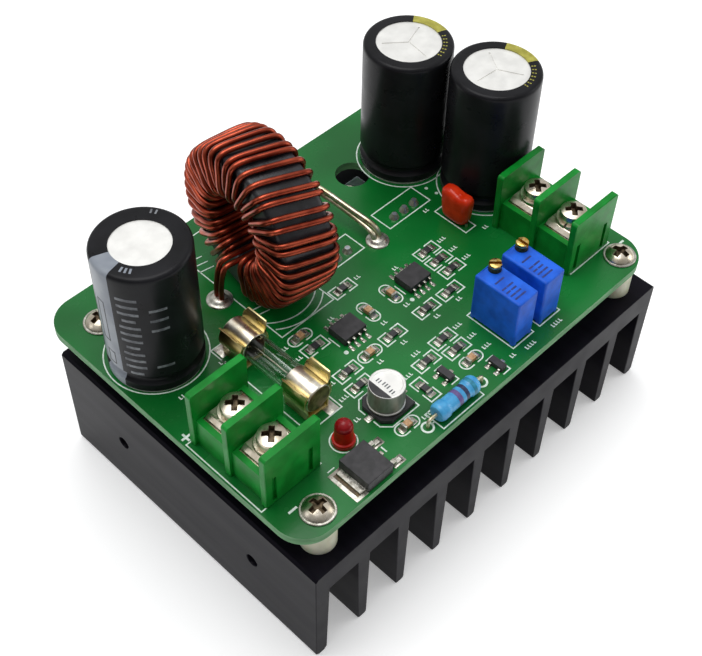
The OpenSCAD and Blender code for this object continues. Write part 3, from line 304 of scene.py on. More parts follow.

# Side of the brass screw: the same metal painted dark as shade and dark reflection.
brass_side_painted_shade = material("brass_side_painted_shade", roughness=0.4, metallic=1.0)
tint(brass_side_painted_shade, "#5c4216", "#93702f", 0.6)

# Dipped epoxy resin: orange red, thick glossy skin.
dipped_red = material("dipped_epoxy_red", roughness=0.24, ior=1.38, subsurface_weight=0.08,
                      subsurface_scale=0.0006)
tint(dipped_red, "#cd2b0b", "#e03816", 1.8)
grain(dipped_red, 1.4, 0.05)

# Black rubbery base moulding.
base_black = material("moulded_base_black", roughness=0.5)
tint(base_black, "#151517", "#242427", 1.0)
grain(base_black, 0.3, 0.015)

# Cast epoxy lens: the body painted bright red as light passing through it, the dome painted wine red as
# shade.
lens_red = material("cast_epoxy_red", roughness=0.3, ior=1.3, subsurface_weight=0.2, subsurface_scale=0.0012)
tint(lens_red, "#a81206", "#c61e10", 1.4)
lens_dome_painted_shade = material("cast_epoxy_red_dome_painted_shade", roughness=0.24, ior=1.36, subsurface_weight=0.1,
                     subsurface_scale=0.0012)
tint(lens_dome_painted_shade, "#7c0b11", "#9a141c", 1.4)

# Blue lacquer over a ceramic rod, dipped: slightly uneven gloss.
lacquer_blue = material("lacquered_ceramic_blue", roughness=0.3, ior=1.52)
tint(lacquer_blue, "#2f8cc6", "#54b2e6", 1.6)
grain(lacquer_blue, 0.8, 0.03)
band_purple = material("band_lacquer_purple", roughness=0.35)
tint(band_purple, "#4e3d72", "#6b5a94", 0.8)
band_navy = material("band_lacquer_navy", roughness=0.35)
tint(band_navy, "#182244", "#283760", 0.8)
band_teal = material("band_lacquer_teal", roughness=0.35)
tint(band_teal, "#196f8a", "#2a8dab", 0.8)

# Transfer-moulded epoxy compound: dark grey, sandblasted mould finish.
compound = material("moulded_epoxy_compound")
tint(compound, "#262527", "#363437", 1.4)
wear(compound, 0.48, 0.62, 1.0)
grain(compound, 0.22, 0.012)

# Fired glass over a chip resistor: black and slightly shiny.
chip_black = material("fired_glass_black", roughness=0.35)
tint(chip_black, "#222224", "#38383b", 0.5)

# Barium titanate ceramic: tan, matt.
chip_tan = material("fired_ceramic_tan", roughness=0.5)
tint(chip_tan, "#ab8056", "#cfa67c", 0.5)
grain(chip_tan, 0.2, 0.01)

# Silicone-glass insulating pad: flat warm grey.
silicone_pad = material("silicone_glass_pad", roughness=0.7)
tint(silicone_pad, "#aaa496", "#c6c0b2", 1.2)
grain(silicone_pad, 0.4, 0.02)

# Tinned copper tab of a power package: blue-grey, dull.
package_tab = material("tinned_copper_tab", metallic=0.9)
tint(package_tab, "#959ca6", "#bcc2ca", 1.5)
wear(package_tab, 0.28, 0.46, 1.2)


# Modelling

# Distances at which doubles merge, in new meshes and in copies of CAD nodes, and slack in comparing heights
MERGE = 0.0005
WELD = 0.002
NEAR = 0.001
# Faces of a copy that meet at less than this are one face, and a face looks up or down past this share of Z
FLAT_JOIN = math.radians(2)
LEVEL = 0.5
# Small overlap of pieces of print
LAP = 0.01
UP = Vector((0, 0, 1))
X_AXIS = Vector((1, 0, 0))
Y_AXIS = Vector((0, 1, 0))


def spot(x, y, z=0.0):
    """A place in the part's frame, from the middle of the board's top face."""
    return BOARD + Vector((x, y, z))


def heading(degrees):
    """Level direction at that angle from X."""
    return Vector((math.cos(math.radians(degrees)), math.sin(math.radians(degrees)), 0))


def beside(x, y, turn, along, across=0.0):
    """The place (along, across) from (x, y), in a frame turned by `turn` degrees."""
    return Vector((x, y)) + Matrix.Rotation(math.radians(turn), 2) @ Vector((along, across))


def verts_in(geometry):
    return [item for item in geometry if isinstance(item, bmesh.types.BMVert)]


def edges_of(verts):
    return {edge for vert in verts for edge in vert.link_edges}


def faces_of(verts):
    return {face for vert in verts for face in vert.link_faces}


def middle_of(face):
    """Where a face lies, from the middle of the board's top face."""
    return face.calc_center_median() - BOARD


def coat(verts, index):
    """Gives the faces at those vertices the finish of that number."""
    for face in faces_of(verts):
        face.material_index = index


def block(bm, size, middle, turn=0.0):
    """A box of that size about its middle, turned about Z."""
    place = Matrix.Translation(middle) @ Matrix.Rotation(math.radians(turn), 4, "Z")
    return bmesh.ops.create_cube(bm, size=1, matrix=place @ Matrix.Diagonal((*size, 1)))["verts"]


def chain(bm, places, closed=False):
    """Vertices at those places, and the edges that join them in a row or a ring."""
    verts = [bm.verts.new(place) for place in places]
    pairs = list(zip(verts, verts[1:]))
    if closed:
        pairs.append((verts[-1], verts[0]))
    return verts, [bm.edges.new(pair) for pair in pairs]


def linked(seed):
    """Every vertex joined to the seed by edges."""
    found = {v for v in seed if v.is_valid}
    waiting = list(found)
    while waiting:
        vert = waiting.pop()
        for edge in vert.link_edges:
            other = edge.other_vert(vert)
            if other not in found:
                found.add(other)
                waiting.append(other)
    return list(found)


def turned(bm, profile, middle, steps=48, axis=UP, closed=False):
    """Spins a profile of (radius, height) points about an axis through `middle`."""
    across = X_AXIS if axis == UP else UP
    verts, edges = chain(bm, [middle + across * r + axis * h for r, h in profile], closed)
    spun = bmesh.ops.spin(bm, geom=verts + edges, cent=middle, axis=axis, angle=math.tau, steps=steps,
                          use_merge=True)
    return linked(verts_in(spun["geom_last"]) + verts)


def rounded(corners, radius, steps=5):
    """A line of (radius, height) corners with the inner ones rounded; a corner may carry its own radius."""
    out = [corners[0][:2]]
    for before, here, after in zip(corners, corners[1:], corners[2:]):
        size = here[2] if len(here) > 2 else radius
        p, q, r = Vector(before[:2]), Vector(here[:2]), Vector(after[:2])
        into, away = (p - q).normalized(), (r - q).normalized()
        half = into.angle(away) / 2
        reach = min(size / math.tan(half), (p - q).length / 2, (r - q).length / 2)
        start, end = q + into * reach, q + away * reach
        for i in range(steps + 1):
            t = i / steps
            out.append(tuple(start * (1 - t) ** 2 + q * 2 * t * (1 - t) + end * t * t))
    out.append(corners[-1][:2])
    return out


def sealed(bm):
    """Merges doubles and turns the faces outwards."""
    bmesh.ops.remove_doubles(bm, verts=bm.verts, dist=MERGE)
    bmesh.ops.recalc_face_normals(bm, faces=bm.faces)


def copied(node):
    """A copy of a CAD node's mesh in millimetres, with its doubles merged."""
    bm = bmesh.new()
    bm.from_mesh(nodes[node].data)
    bmesh.ops.scale(bm, vec=(1 / MM,) * 3, verts=bm.verts)
    bmesh.ops.remove_doubles(bm, verts=bm.verts, dist=WELD)
    return bm


def softened(node, width, segments=2, angle=40, shortest=0.0, choose=None):
    """A copy of a CAD node with its sharp edges rounded by `width` millimetres."""
    bm = copied(node)
    bmesh.ops.dissolve_limit(bm, angle_limit=FLAT_JOIN, verts=bm.verts, edges=bm.edges)
    sharp = [e for e in bm.edges if len(e.link_faces) == 2 and e.calc_face_angle(0) > math.radians(angle)
             and e.calc_length() > shortest and (choose is None or choose(e))]
    bmesh.ops.bevel(bm, geom=sharp, offset=width, offset_type="OFFSET", segments=segments, profile=0.5,
                    affect="EDGES", clamp_overlap=False, material=-1)
    bmesh.ops.recalc_face_normals(bm, faces=bm.faces)
    return bm


def shown(name, data):
    """An object of that data, linked to the scene."""
    made = bpy.data.objects.new(name, data)
    bpy.context.scene.collection.objects.link(made)
    return made


def piece(name, bm, finishes, body="module", stands_for=(), smooth=38, merge=True, flats=None):
    """Finishes a mesh as a piece; its faces of more than `flats` square millimetres are shaded flat."""
    if merge:
        bmesh.ops.remove_doubles(bm, verts=bm.verts, dist=MERGE)
    bmesh.ops.scale(bm, vec=(MM,) * 3, verts=bm.verts)
    mesh = bpy.data.meshes.new(name)
    bm.to_mesh(mesh)
    bm.free()
    for finish in finishes:
        mesh.materials.append(finish)
    mesh.shade_smooth()
    mesh.set_sharp_from_angle(angle=math.radians(smooth))
    if flats:
        for face in mesh.polygons:
            face.use_smooth = face.area < flats * MM * MM
    made = shown(name, mesh)
    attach(made, body)
    if stands_for:
        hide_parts(*stands_for)


def dress(finish, *names):
    """Gives CAD nodes a finish."""
    for name in names:
        node = nodes[name]
        if not node.material_slots:
            node.data.materials.append(finish)
        for place in node.material_slots:
            place.material = finish


# Heatsink, spacers and screws

SINK_EDGE = 0.14
piece("heatsink_extrusion", softened("heatsink", SINK_EDGE, angle=50), [anodised],
      stands_for=["heatsink"], flats=2.0)
dress(nylon, "board_spacers")

SCREW_R = 1.5
HEAD_R = 2.9
# The solid's head stands 2 mm high, with a square rim; the dome on it is lower
SEAT_TO_TOP = 2.0
HEAD_H = 1.6
HEAD_RIM = 0.4
RIM_H = 0.3
HEAD_EDGE = 0.06
RIM_EDGE = 0.1
DOME_GAP = 0.04
# Cross recess: an arm's length and width as shares of the dome's radius, and the depth
PAN_CROSS = (0.62, 0.4)
PAN_DEPTH = 1.1
# Cut of a cross's inner corners, width of the dome left round it, and rows of faces on the dome
CROSS_CUT = 0.12
CROSS_MARGIN = 0.12
DOME_ROWS = 5
# How far a recess draws in: at its worn lip, and at its floor
RECESS_LIP = 0.05
RECESS_DRAFT = 0.14
WASHER_EDGE = 0.08
WASHER_GAP = 8


def dome_height(r, radius, base, rise):
    """Height of a domed top at the distance r from its axis."""
    ball = (radius ** 2 + rise ** 2) / (2 * rise)
    return base + rise - ball + math.sqrt(ball ** 2 - r ** 2)


def cross_outline(arm, wide, turn):
    """Corners of a turned cross with cut inner corners, anticlockwise."""
    half = wide / 2
    corners = ((half + CROSS_CUT, -half), (arm, -half), (arm, half), (half + CROSS_CUT, half))
    return [beside(0, 0, turn + quarter, *p) for quarter in (0, 90, 180, 270) for p in corners]


def recessed(bm, profile, dome, middle, cross, turn, pit):
    """A spun screw with a domed top and a cross recess in the finish numbered `pit`.

    The profile runs from the axis below to the foot of the dome.
    """
    radius, base, rise = dome
    arm, wide, depth = cross
    rows = [radius - (radius - arm - CROSS_MARGIN) * i / DOME_ROWS for i in range(1, DOME_ROWS + 1)]
    made = turned(bm, profile + [(r, dome_height(r, *dome)) for r in rows], middle)
    low = middle.z + dome_height(rows[-1], *dome) - NEAR
    rim = [e for e in edges_of(made) if e.is_boundary and min(v.co.z for v in e.verts) > low]
    rings = []
    for inset, drop in ((0, 0), (RECESS_LIP, RECESS_LIP), (RECESS_DRAFT, depth)):
        outline = cross_outline(arm - inset, wide - 2 * inset, turn)
        tops = [dome_height(p.length, *dome) if drop < depth else base + rise for p in outline]
        rings.append([bm.verts.new(middle + Vector((*p, z - drop))) for p, z in zip(outline, tops)])
    mouth = [bm.edges.new(pair) for pair in zip(rings[0], rings[0][1:] + rings[0][:1])]
    bmesh.ops.triangle_fill(bm, edges=rim + mouth, use_beauty=True, normal=UP)
    # The recess's walls and floor take the finish numbered `pit`, which paints their shade.
    for upper, lower in zip(rings, rings[1:]):
        for i, vert in enumerate(upper):
            bm.faces.new((vert, upper[i - 1], lower[i - 1], lower[i])).material_index = pit
    bm.faces.new(rings[-1]).material_index = pit


def split_washer(bm, middle, inner, outer, thick, gap):
    """A spring washer, cut through at the angle `gap`."""
    edge = WASHER_EDGE
    section = ((inner, 0), (outer - edge, 0), (outer, edge), (outer, thick - edge), (outer - edge, thick),
               (inner, thick))
    out = heading(gap + WASHER_GAP / 2)
    verts, edges = chain(bm, [middle + out * r + UP * h for r, h in section], closed=True)
    bmesh.ops.spin(bm, geom=verts + edges, cent=middle, axis=UP, angle=math.radians(360 - WASHER_GAP),
                   steps=44, use_merge=False)
    bmesh.ops.holes_fill(bm, edges=[e for e in bm.edges if e.is_boundary], sides=len(section))


def pan_screws(name, seat):
    """Screws at the corners of a node's box, whose low domed heads sit in a bright ring."""
    bm = bmesh.new()
    low, high = (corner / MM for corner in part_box(name))
    xs, ys = ({round(low[i] + HEAD_R, 3), round(high[i] - HEAD_R, 3)} for i in (0, 1))
    places = [(x, y) for x in sorted(xs) for y in sorted(ys)]
    end = low.z - seat
    dome = HEAD_R - HEAD_RIM
    foot = RIM_H + RIM_EDGE
    profile = [(0, end), (SCREW_R, end), (SCREW_R, 0), (HEAD_R - HEAD_EDGE, 0), (HEAD_R, HEAD_EDGE),
               (HEAD_R, RIM_H - RIM_EDGE), (HEAD_R - RIM_EDGE, RIM_H), (dome + DOME_GAP, RIM_H), (dome, foot)]
    cross = (PAN_CROSS[0] * dome, PAN_CROSS[1] * dome, PAN_DEPTH)
    for x, y in places:
        recessed(bm, profile, (dome, foot, HEAD_H - foot), Vector((x, y, seat)), cross, turn=0, pit=2)
    sealed(bm)
    for face in bm.faces:
        at = face.calc_center_median()
        if min(math.hypot(at.x - x, at.y - y) for x, y in places) > dome and at.z > seat:
            face.material_index = 1
    piece(name + "_plated", bm, [nickel, solder, nickel_recess_shade], stands_for=[name], smooth=30)


pan_screws("board_screws", BOARD.z)
pan_screws("package_screws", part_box("package_screws")[1].z / MM - SEAT_TO_TOP)

# Board: mask on both faces, bare laminate at the edge and in the big holes, tin in the lead holes

RIM_BAND = 1.7
HOLE_BAND = 0.3
board = copied("circuit_board")
for face in board.faces:
    if abs(face.normal.z) > LEVEL:
        continue
    at = middle_of(face)
    at_edge = abs(at.x) > BOARD_HALF.x - RIM_BAND or abs(at.y) > BOARD_HALF.y - RIM_BAND
    in_access = any(math.hypot(at.x - x, at.y - ACCESS_Y) < ACCESS_R + HOLE_BAND for x in PACKAGES)
    face.material_index = 1 if at_edge or in_access else 2
piece("board_laminate", board, [mask, laminate, solder], stands_for=["circuit_board"],
      smooth=25)

# Marking ink on the board

# Width and height of the ink, widths of the lines at the chip parts and the regulator, ring round a lead of
# the resistor as radius and width, and degrees to a step of a ring
INK_W = 0.22
INK_H = 0.03
CHIP_INK_W = 0.24
TICK_W = 0.26
PAD_RING = (0.95, 0.36)
ARC_STEP = 6
# Frames, as lowest and highest x, then y: inductor, terminal blocks, film capacitor, trimmers
INK_FRAMES = ((-16.65, -4.7, 0.15, 28.1), (-41.9, -29.6, -22.1, -5.1), (28.45, 39.2, -24.42, -7.2),
              (23.05, 25.6, -5.15, 2.3), (8.65, 13.85, -28.15, -18.05), (15.5, 20.7, -28.15, -18.05))
# Frames about a middle, with half the size: power packages, axial resistor, fuse
INK_BORDERS = (((PACKAGES[0], 7.25), 5.2, 2.35), ((PACKAGES[1], 7.25), 5.2, 2.35), (RESISTOR, 4.75, 1.95),
               (FUSE, 3.6, 11.5))
# Rings, as middle, radius and the angles they run between: three capacitors, inductor, lamp
INK_RINGS = (((-33.23, 12.28), 8.64, 0, 360), (CAP_REAR, 8.5, 0, 360), (CAP_FRONT, 8.5, 33, 327),
             ((-10.78, 9.1), 8.84, 232, 313), ((-10.7, 10.1), 8.18, 225, 318), (LAMP, 2.2, 20, 340))
# Dots, as middle and radius: one beside each chip, two by the film capacitor
INK_DOTS = (*(((x - 3.2, y - 2.9), 0.4) for x, y in CHIPS), ((26.4, 7.46), 0.32), ((26.8, 5.29), 0.32))
# Short strokes at the inductor's frame
COIL_TICK_X = (-16.65, -14.05)
COIL_TICK_Y = (6.6, 8.1, 20.6, 22.2, 23.8)
COIL_TICK_DROP = 0.5
# Polarity signs at the wire entries: middle, and whether it is a plus
SIGNS = ((-41.0, -4.0, True), (-38.4, -25.1, False), (41.0, -6.0, True), (40.6, -25.9, False))
SIGN_L = 1.7
SIGN_W = 0.4
# Groups of plain bars: middle and number of bars
GROUPS = ((18.6, -3.2, 3), (18.4, -6.1, 3), (18.6, -9.0, 3), (10.4, -14.6, 2), (4.9, -14.6, 2),
          (1.6, 0.9, 2), (-3.2, -14.6, 2), (-8.9, -14.7, 2), (5.7, -18.4, 3), (5.8, -21.5, 3),
          (5.9, -24.6, 3), (-3.6, -17.6, 3), (-7.9, -19.9, 3), (-18.4, -15.8, 3), (-17.7, -12.4, 2),
          (-17.8, -5.0, 2), (-18.1, -1.9, 2), (-11.6, -27.3, 3), (3.1, -9.3, 2), (-2.5, -9.4, 2),
          (-8.2, -2.6, 2), (7.8, -2.2, 2), (22.0, 3.6, 2), (26.5, -6.6, 2), (12.0, 11.0, 2),
          (-5.0, 11.0, 2), (-27.2, 3.2, 2), (-19.9, -20.2, 2), (7.4, -29.0, 2), (11.2, -29.6, 4),
          (18.0, -29.6, 4), (-36.4, 2.4, 2))
BAR = (0.2, 0.75, INK_H)
BAR_FOOT = (0.24, 0.18, INK_H)
BAR_PITCH = 0.62
marking = bmesh.new()


def stroke(points, closed=False, width=INK_W):
    """Ink along a line of points; each strip ends past its corner and the next one starts after it."""
    pairs = list(zip(points, points[1:]))
    if closed:
        pairs.append((points[-1], points[0]))
    for i, (a, b) in enumerate(pairs):
        start, end = Vector(a), Vector(b)
        along = (end - start).normalized()
        start += along * (width / 2 if closed or i else -width / 2)
        end += along * width / 2
        block(marking, ((end - start).length, width, INK_H), spot(*(start + end) / 2, INK_H / 2),
              math.degrees(math.atan2(along.y, along.x)))


def part_line(x, y, points, turn=0.0, width=INK_W):
    """Ink along points given from a part's middle, in its own turned frame."""
    stroke([beside(x, y, turn, *p) for p in points], width=width)


def frame_mark(x0, x1, y0, y1):
    stroke([(x0, y0), (x1, y0), (x1, y1), (x0, y1)], closed=True)


def arc_mark(middle, radius, start=0, end=360, width=INK_W):
    """A ring of ink, or part of one, from one angle to another."""
    centre = spot(*middle)
    out = heading(start)
    inner, outer = radius - width / 2, radius + width / 2
    corners = ((inner, 0), (outer, 0), (outer, INK_H), (inner, INK_H))
    verts, edges = chain(marking, [centre + out * r + UP * h for r, h in corners], closed=True)
    whole = end - start >= 360
    bmesh.ops.spin(marking, geom=verts + edges, cent=centre, axis=UP, angle=math.radians(end - start),
                   steps=int((end - start) / ARC_STEP), use_merge=whole)
    if not whole:
        rim = [e for e in marking.edges if e.is_boundary]
        bmesh.ops.holes_fill(marking, edges=rim, sides=len(corners))


for sides in INK_FRAMES:
    frame_mark(*sides)
for (x, y), wide, deep in INK_BORDERS:
    frame_mark(x - wide, x + wide, y - deep, y + deep)
for row in INK_RINGS:
    arc_mark(*row)
for middle, radius in INK_DOTS:
    arc_mark(middle, radius / 2, width=radius)
for y in COIL_TICK_Y:
    stroke([(COIL_TICK_X[0], y), (COIL_TICK_X[1], y - COIL_TICK_DROP)])
# Single lines by the lamp, fuse and regulator
part_line(*LAMP, ((2.1, -0.8), (2.1, 0.8)))
part_line(*FUSE, ((-3.6, -3.4), (-1.2, -3.4), (0.6, -4.2)))
part_line(*REGULATOR, ((-4.4, 3.7), (-3.2, 3.7)))
part_line(*REGULATOR, ((4.7, 1.2), (4.7, 0.2)), width=TICK_W)
part_line(*REGULATOR, ((3.4, 0.9), (3.4, 0.1)), width=TICK_W)
# Marks that a part has at both ends or on both sides
for s in (-1, 1):
    part_line(*RESISTOR, ((s * 4.9, 0), (s * 5.3, 0)))
    arc_mark(beside(*RESISTOR, 0, s * RESISTOR_PITCH / 2), PAD_RING[0], width=PAD_RING[1])
    part_line(*SURFACE_CAN, ((-3.7, s), (-3.7, s * 2.3), (-2.3, s * 3.7), (3.7, s * 3.7), (3.7, s)))
    for x, y in CHIPS:
        part_line(x, y, ((s * 3.1, -1.2), (s * 3.1, 1.2)))
    for x, y in SMALL_TRANSISTORS:
        part_line(x, y, ((-0.5, s * 1.9), (1.1, s * 1.9), (1.1, s * 1.1)))
    # Brackets round the chip resistors, half capsules round the chip capacitors
    for x, y, turn in CHIP_RESISTORS:
        bracket = ((s * 0.55, 1.15), (s * 2.4, 1.15), (s * 2.4, -1.15), (s * 0.55, -1.15))
        part_line(x, y, bracket, turn, CHIP_INK_W)
    for x, y, turn in CHIP_CAPACITORS:
        start = turn - 90 * s
        arc_mark(beside(x, y, turn, s * 1.25), 1.1, start, start + 180, CHIP_INK_W)
        for side in (-1, 1):
            part_line(x, y, ((s * 0.5, side * 1.1), (s * 1.1, side * 1.1)), turn, CHIP_INK_W)
for x, y, plus in SIGNS:
    block(marking, (SIGN_L, SIGN_W, INK_H), spot(x, y, INK_H / 2))
    for s in (-1, 1) if plus else ():
        arm = (SIGN_L - SIGN_W) / 2
        block(marking, (SIGN_W, arm, INK_H), spot(x, y + s * (SIGN_W + arm) / 2, INK_H / 2))
for x, y, count in GROUPS:
    for i in range(count):
        left = x + (i - (count - 1) / 2) * BAR_PITCH
        block(marking, BAR, spot(left, y, INK_H / 2))
        block(marking, BAR_FOOT, spot(left + BAR[0], y - BAR[1] / 2 + BAR[0] / 2, INK_H / 2))
piece("board_marking", marking, [ink], smooth=30, merge=False)

# Bare tinned lands and the solder on them

LAND_H = 0.05
LAND_EDGE = 0.03
# A chip part's land, how far out it lies, and the pitch of a control chip's pins
CHIP_LAND = (1.15, 1.4)
CHIP_LAND_OUT = 1.22
PIN_PITCH = 1.27
# Flux beside the regulator's tab
FLUX = (0.5, 5.2, 0.12)
# How steeply a fillet falls away from its part, and how much lower its sides are
FILLET_FALL = 2.2
FILLET_SIDES = 0.35
lands = bmesh.new()


def land(x, y, wide, deep, turn=0.0):
    """A thin pad with a soft upper edge."""
    verts = block(lands, (wide, deep, LAND_H), spot(x, y, LAND_H / 2), turn)
    top = [e for e in edges_of(verts) if all(v.co.z > BOARD.z + LAND_H / 2 for v in e.verts)]
    bmesh.ops.bevel(lands, geom=top, offset=LAND_EDGE, segments=2, profile=0.5, affect="EDGES", material=-1)


def fillet(x, y, turn, high, wide, reach):
    """A wedge of solder that climbs a part's end; it rises towards -x of its own turned frame."""
    place = Matrix.Translation(spot(x, y)) @ Matrix.Rotation(math.radians(turn), 4, "Z")
    verts = bmesh.ops.create_grid(lands, x_segments=6, y_segments=4, size=0.5)["verts"]
    for vert in verts:
        along = vert.co.x + 0.5
        across = vert.co.y * 2
        rise = high * (1 - along) ** FILLET_FALL * (1 - FILLET_SIDES * across ** 4)
        vert.co = place @ Vector((along * reach, vert.co.y * wide, max(rise, LAND_H)))
    rim = [e for e in edges_of(verts) if e.is_boundary]
    for vert in verts_in(bmesh.ops.extrude_edge_only(lands, edges=rim)["geom"]):
        vert.co.z = BOARD.z


for s in (-1, 1):
    for places, high in ((CHIP_RESISTORS, 0.5), (CHIP_CAPACITORS, 0.75)):
        for x, y, turn in places:
            land(*beside(x, y, turn, s * CHIP_LAND_OUT), *CHIP_LAND, turn)
            fillet(*beside(x, y, turn, s * CHIP_HALF), turn if s > 0 else turn + 180, high, CHIP_LAND[0], 0.7)
    for x, y in CHIPS:
        for i in (-1.5, -0.5, 0.5, 1.5):
            land(x + i * PIN_PITCH, y + s * 2.95, 0.62, 1.15)
            fillet(x + i * PIN_PITCH, y + s * 2.98, 90 * s, 0.24, 0.5, 0.45)
    rx, ry = beside(*REGULATOR, 0, 0, s * 2.3)
    land(rx + 4.6, ry, 2.4, 1.5)
    fillet(rx + 5.1, ry, 0, 0.45, 1.2, 0.65)
    land(SURFACE_CAN[0] + s * 3.5, SURFACE_CAN[1], 2.0, 1.1)
    land(FUSE[0] - s * 2.1, FUSE[1] + s * 10.2, 2.2, 2.4)
for x, y in SMALL_TRANSISTORS:
    for dx, dy in ((-1.2, -0.95), (-1.2, 0.95), (1.2, 0.0)):
        land(x + dx, y + dy, 0.95, 0.8)
land(*beside(*REGULATOR, 0, -3.85), 2.5, 6.4)
tab_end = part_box("regulator")[0].x / MM - BOARD.x
coat(block(lands, FLUX, spot(tab_end - FLUX[0] / 2, REGULATOR[1], FLUX[2] / 2)), 1)
for at, r in ((FRONT_PAD, 2.3), (REAR_PAD, 2.1)):
    mound = [(r + 0.02, 0), (r + 0.02, 0.1), (r - 0.06, 0.22), (r - 0.3, 0.28), (0.8 * r - 0.1, 0.36),
             (0.68 * r, 0.52), (0.57 * r, 0.7), (0.45 * r, 0.8), (0, 0.84)]
    turned(lands, mound, spot(*at))
piece("tinned_lands", lands, [solder, flux], smooth=50, merge=False)
dress(solder, "solder_joints")

# Large capacitors

SLEEVE_R = 7.9
SLEEVE_T = 0.2
SLEEVE_TOP = 26.2
SLEEVE_FOOT = 0.5
# Rolled groove near the foot, its inner side, rows of faces up the wall, and the rounding of the rim
GROOVE = ((SLEEVE_R, 1.9), (7.55, 2.2), (7.25, 2.65), (7.2, 3.0), (7.25, 3.35), (7.55, 3.8), (SLEEVE_R, 4.1))
NECK = ((SLEEVE_R - SLEEVE_T, 4.3), (7.0, 3.0), (SLEEVE_R - SLEEVE_T, 1.8))
WALL_ROWS = (5.5, 9, 13, 17, 21, 24)
WALL_TOP = 24.4
RIM_ROUND = 1.2
# Radius of the bare disc on top, of the input capacitor and of the output ones
DISC_IN = 4.8
DISC_OUT = 5.7
# Print: thickness, how deep it is sunk, longest flat bar, line width of an outline, thickness on the rim
PRINT_T = 0.08
PRINT_SINK = 0.02
PRINT_STEP = 0.8
PRINT_LINE = 0.16
RIM_PRINT_T = 0.03
# Finishes of the sleeves by number: stripe or gold field, grey print, black outline
FIELD = 1
GREY = 2
BLACK = 3
# Outlines on the input sleeve's stripe and plain bars beside it: angle, height of the middle, width, height
SLEEVE_OUTLINES = ((173, 14.5, 1.7, 9.0), (177, 6.2, 1.7, 2.8))
SLEEVE_BARS = (*((211, 21.8 - i * 1.55, 2.2 if i % 4 == 3 else 3.4, 0.55) for i in range(12)),
               *((245, z, 2.8, 0.5) for z in (19.4, 17.2, 15.0, 6.4)))


def sleeve_section(disc_r):
    """Closed section of the sleeve: up the outside past the groove, over the rim, and back inside."""
    inside, under = SLEEVE_R - SLEEVE_T, SLEEVE_TOP - SLEEVE_T
    walls = [(SLEEVE_R, z) for z in WALL_ROWS]
    rim = rounded([(SLEEVE_R, WALL_TOP), (SLEEVE_R, SLEEVE_TOP), (disc_r, SLEEVE_TOP)], RIM_ROUND, 8)
    inner = rounded([(disc_r, under), (inside, under), NECK[0]], RIM_ROUND - SLEEVE_T, 4)
    return [(SLEEVE_R, SLEEVE_FOOT), *GROOVE, *walls, *rim, *inner, *NECK[1:], (inside, SLEEVE_FOOT)]


def sleeve(at, disc_r, start, end, lowest):
    """A sleeve with a coloured field between two angles, above the lowest height."""
    bm = bmesh.new()
    turned(bm, sleeve_section(disc_r), spot(*at), steps=120, closed=True)
    sealed(bm)
    for face in bm.faces:
        middle = middle_of(face) - Vector((*at, 0))
        angle = math.degrees(math.atan2(middle.y, middle.x))
        if (angle - start) % 360 < end - start and middle.z > lowest:
            face.material_index = FIELD
    return bm


def print_bar(bm, at, angle, z, wide, high, index):
    """A thin printed bar that follows the sleeve's round side."""
    count = max(1, int(wide / PRINT_STEP))
    spread = math.degrees(wide / SLEEVE_R)
    for i in range(count):
        lean = angle + ((i + 0.5) / count - 0.5) * spread
        middle = spot(*at, z) + heading(lean) * (SLEEVE_R - PRINT_SINK)
        coat(block(bm, (PRINT_T, wide / count + LAP, high), middle, lean), index)


def print_frame(bm, at, angle, z, wide, high, index):
    """A printed outline of a rectangle on the sleeve's round side."""
    lean = math.degrees((wide - PRINT_LINE) / 2 / SLEEVE_R)
    for s in (-1, 1):
        print_bar(bm, at, angle, z + s * (high - PRINT_LINE) / 2, wide, PRINT_LINE, index)
        print_bar(bm, at, angle + s * lean, z, PRINT_LINE, high, index)


def rim_bars(bm, at, turns, radius, size, index):
    """Short printed bars on the flat of a sleeve's rim, one at each angle."""
    for turn in turns:
        middle = spot(*at, SLEEVE_TOP - LAP) + heading(turn) * radius
        coat(block(bm, (*size, RIM_PRINT_T), middle, turn), index)


wrap = sleeve(CAP_IN, DISC_IN, 160, 193, lowest=0)
for row in SLEEVE_OUTLINES:
    print_frame(wrap, CAP_IN, *row, BLACK)
for row in SLEEVE_BARS:
    print_bar(wrap, CAP_IN, *row, GREY)
rim_bars(wrap, CAP_IN, (29, 36), 6.6, (0.9, 0.3), GREY)
rim_bars(wrap, CAP_IN, (203, 210, 217), 5.9, (1.0, 0.35), FIELD)
piece("input_capacitor_wrap", wrap, [sleeve_black, sleeve_stripe, sleeve_print, base_black],
      stands_for=["input_capacitor_sleeve"], smooth=30, merge=False)
for name, at, start, end in (("rear", CAP_REAR, -18, 36), ("front", CAP_FRONT, -26, 28)):
    wrap = sleeve(at, DISC_OUT, start, end, lowest=25.3)
    for radius in (6.05, 6.5):
        rim_bars(wrap, at, [start - 12 - i * 8.5 for i in range(7)], radius, (0.3, 0.24), FIELD)
    piece(name + "_output_capacitor_wrap", wrap, [sleeve_black, sleeve_gold],
          stands_for=[name + "_output_capacitor_sleeve"], smooth=30, merge=False)
dress(etched_aluminium, "input_capacitor_can", "rear_output_capacitor_can", "front_output_capacitor_can")

# Inductor: core and two strands of wire

CORE_R = (7.4, 13.7)
CORE_HALF = 4.85
CORE_EDGE = 1.0
CORE_TURN = -6.9
core = bmesh.new()
coil_middle = spot(*COIL, COIL_Z)
section = rounded([(CORE_R[0], 0), (CORE_R[0], CORE_HALF), (CORE_R[1], CORE_HALF), (CORE_R[1], -CORE_HALF),
                   (CORE_R[0], -CORE_HALF), (CORE_R[0], 0)], CORE_EDGE)[:-1]
turned(core, section, coil_middle, steps=96, axis=X_AXIS, closed=True)
lean = Matrix.Rotation(math.radians(CORE_TURN), 3, "Z")
bmesh.ops.rotate(core, cent=coil_middle, matrix=lean, verts=core.verts)
sealed(core)
piece("inductor_core_coated", core, [core_coat], stands_for=["inductor_core"])

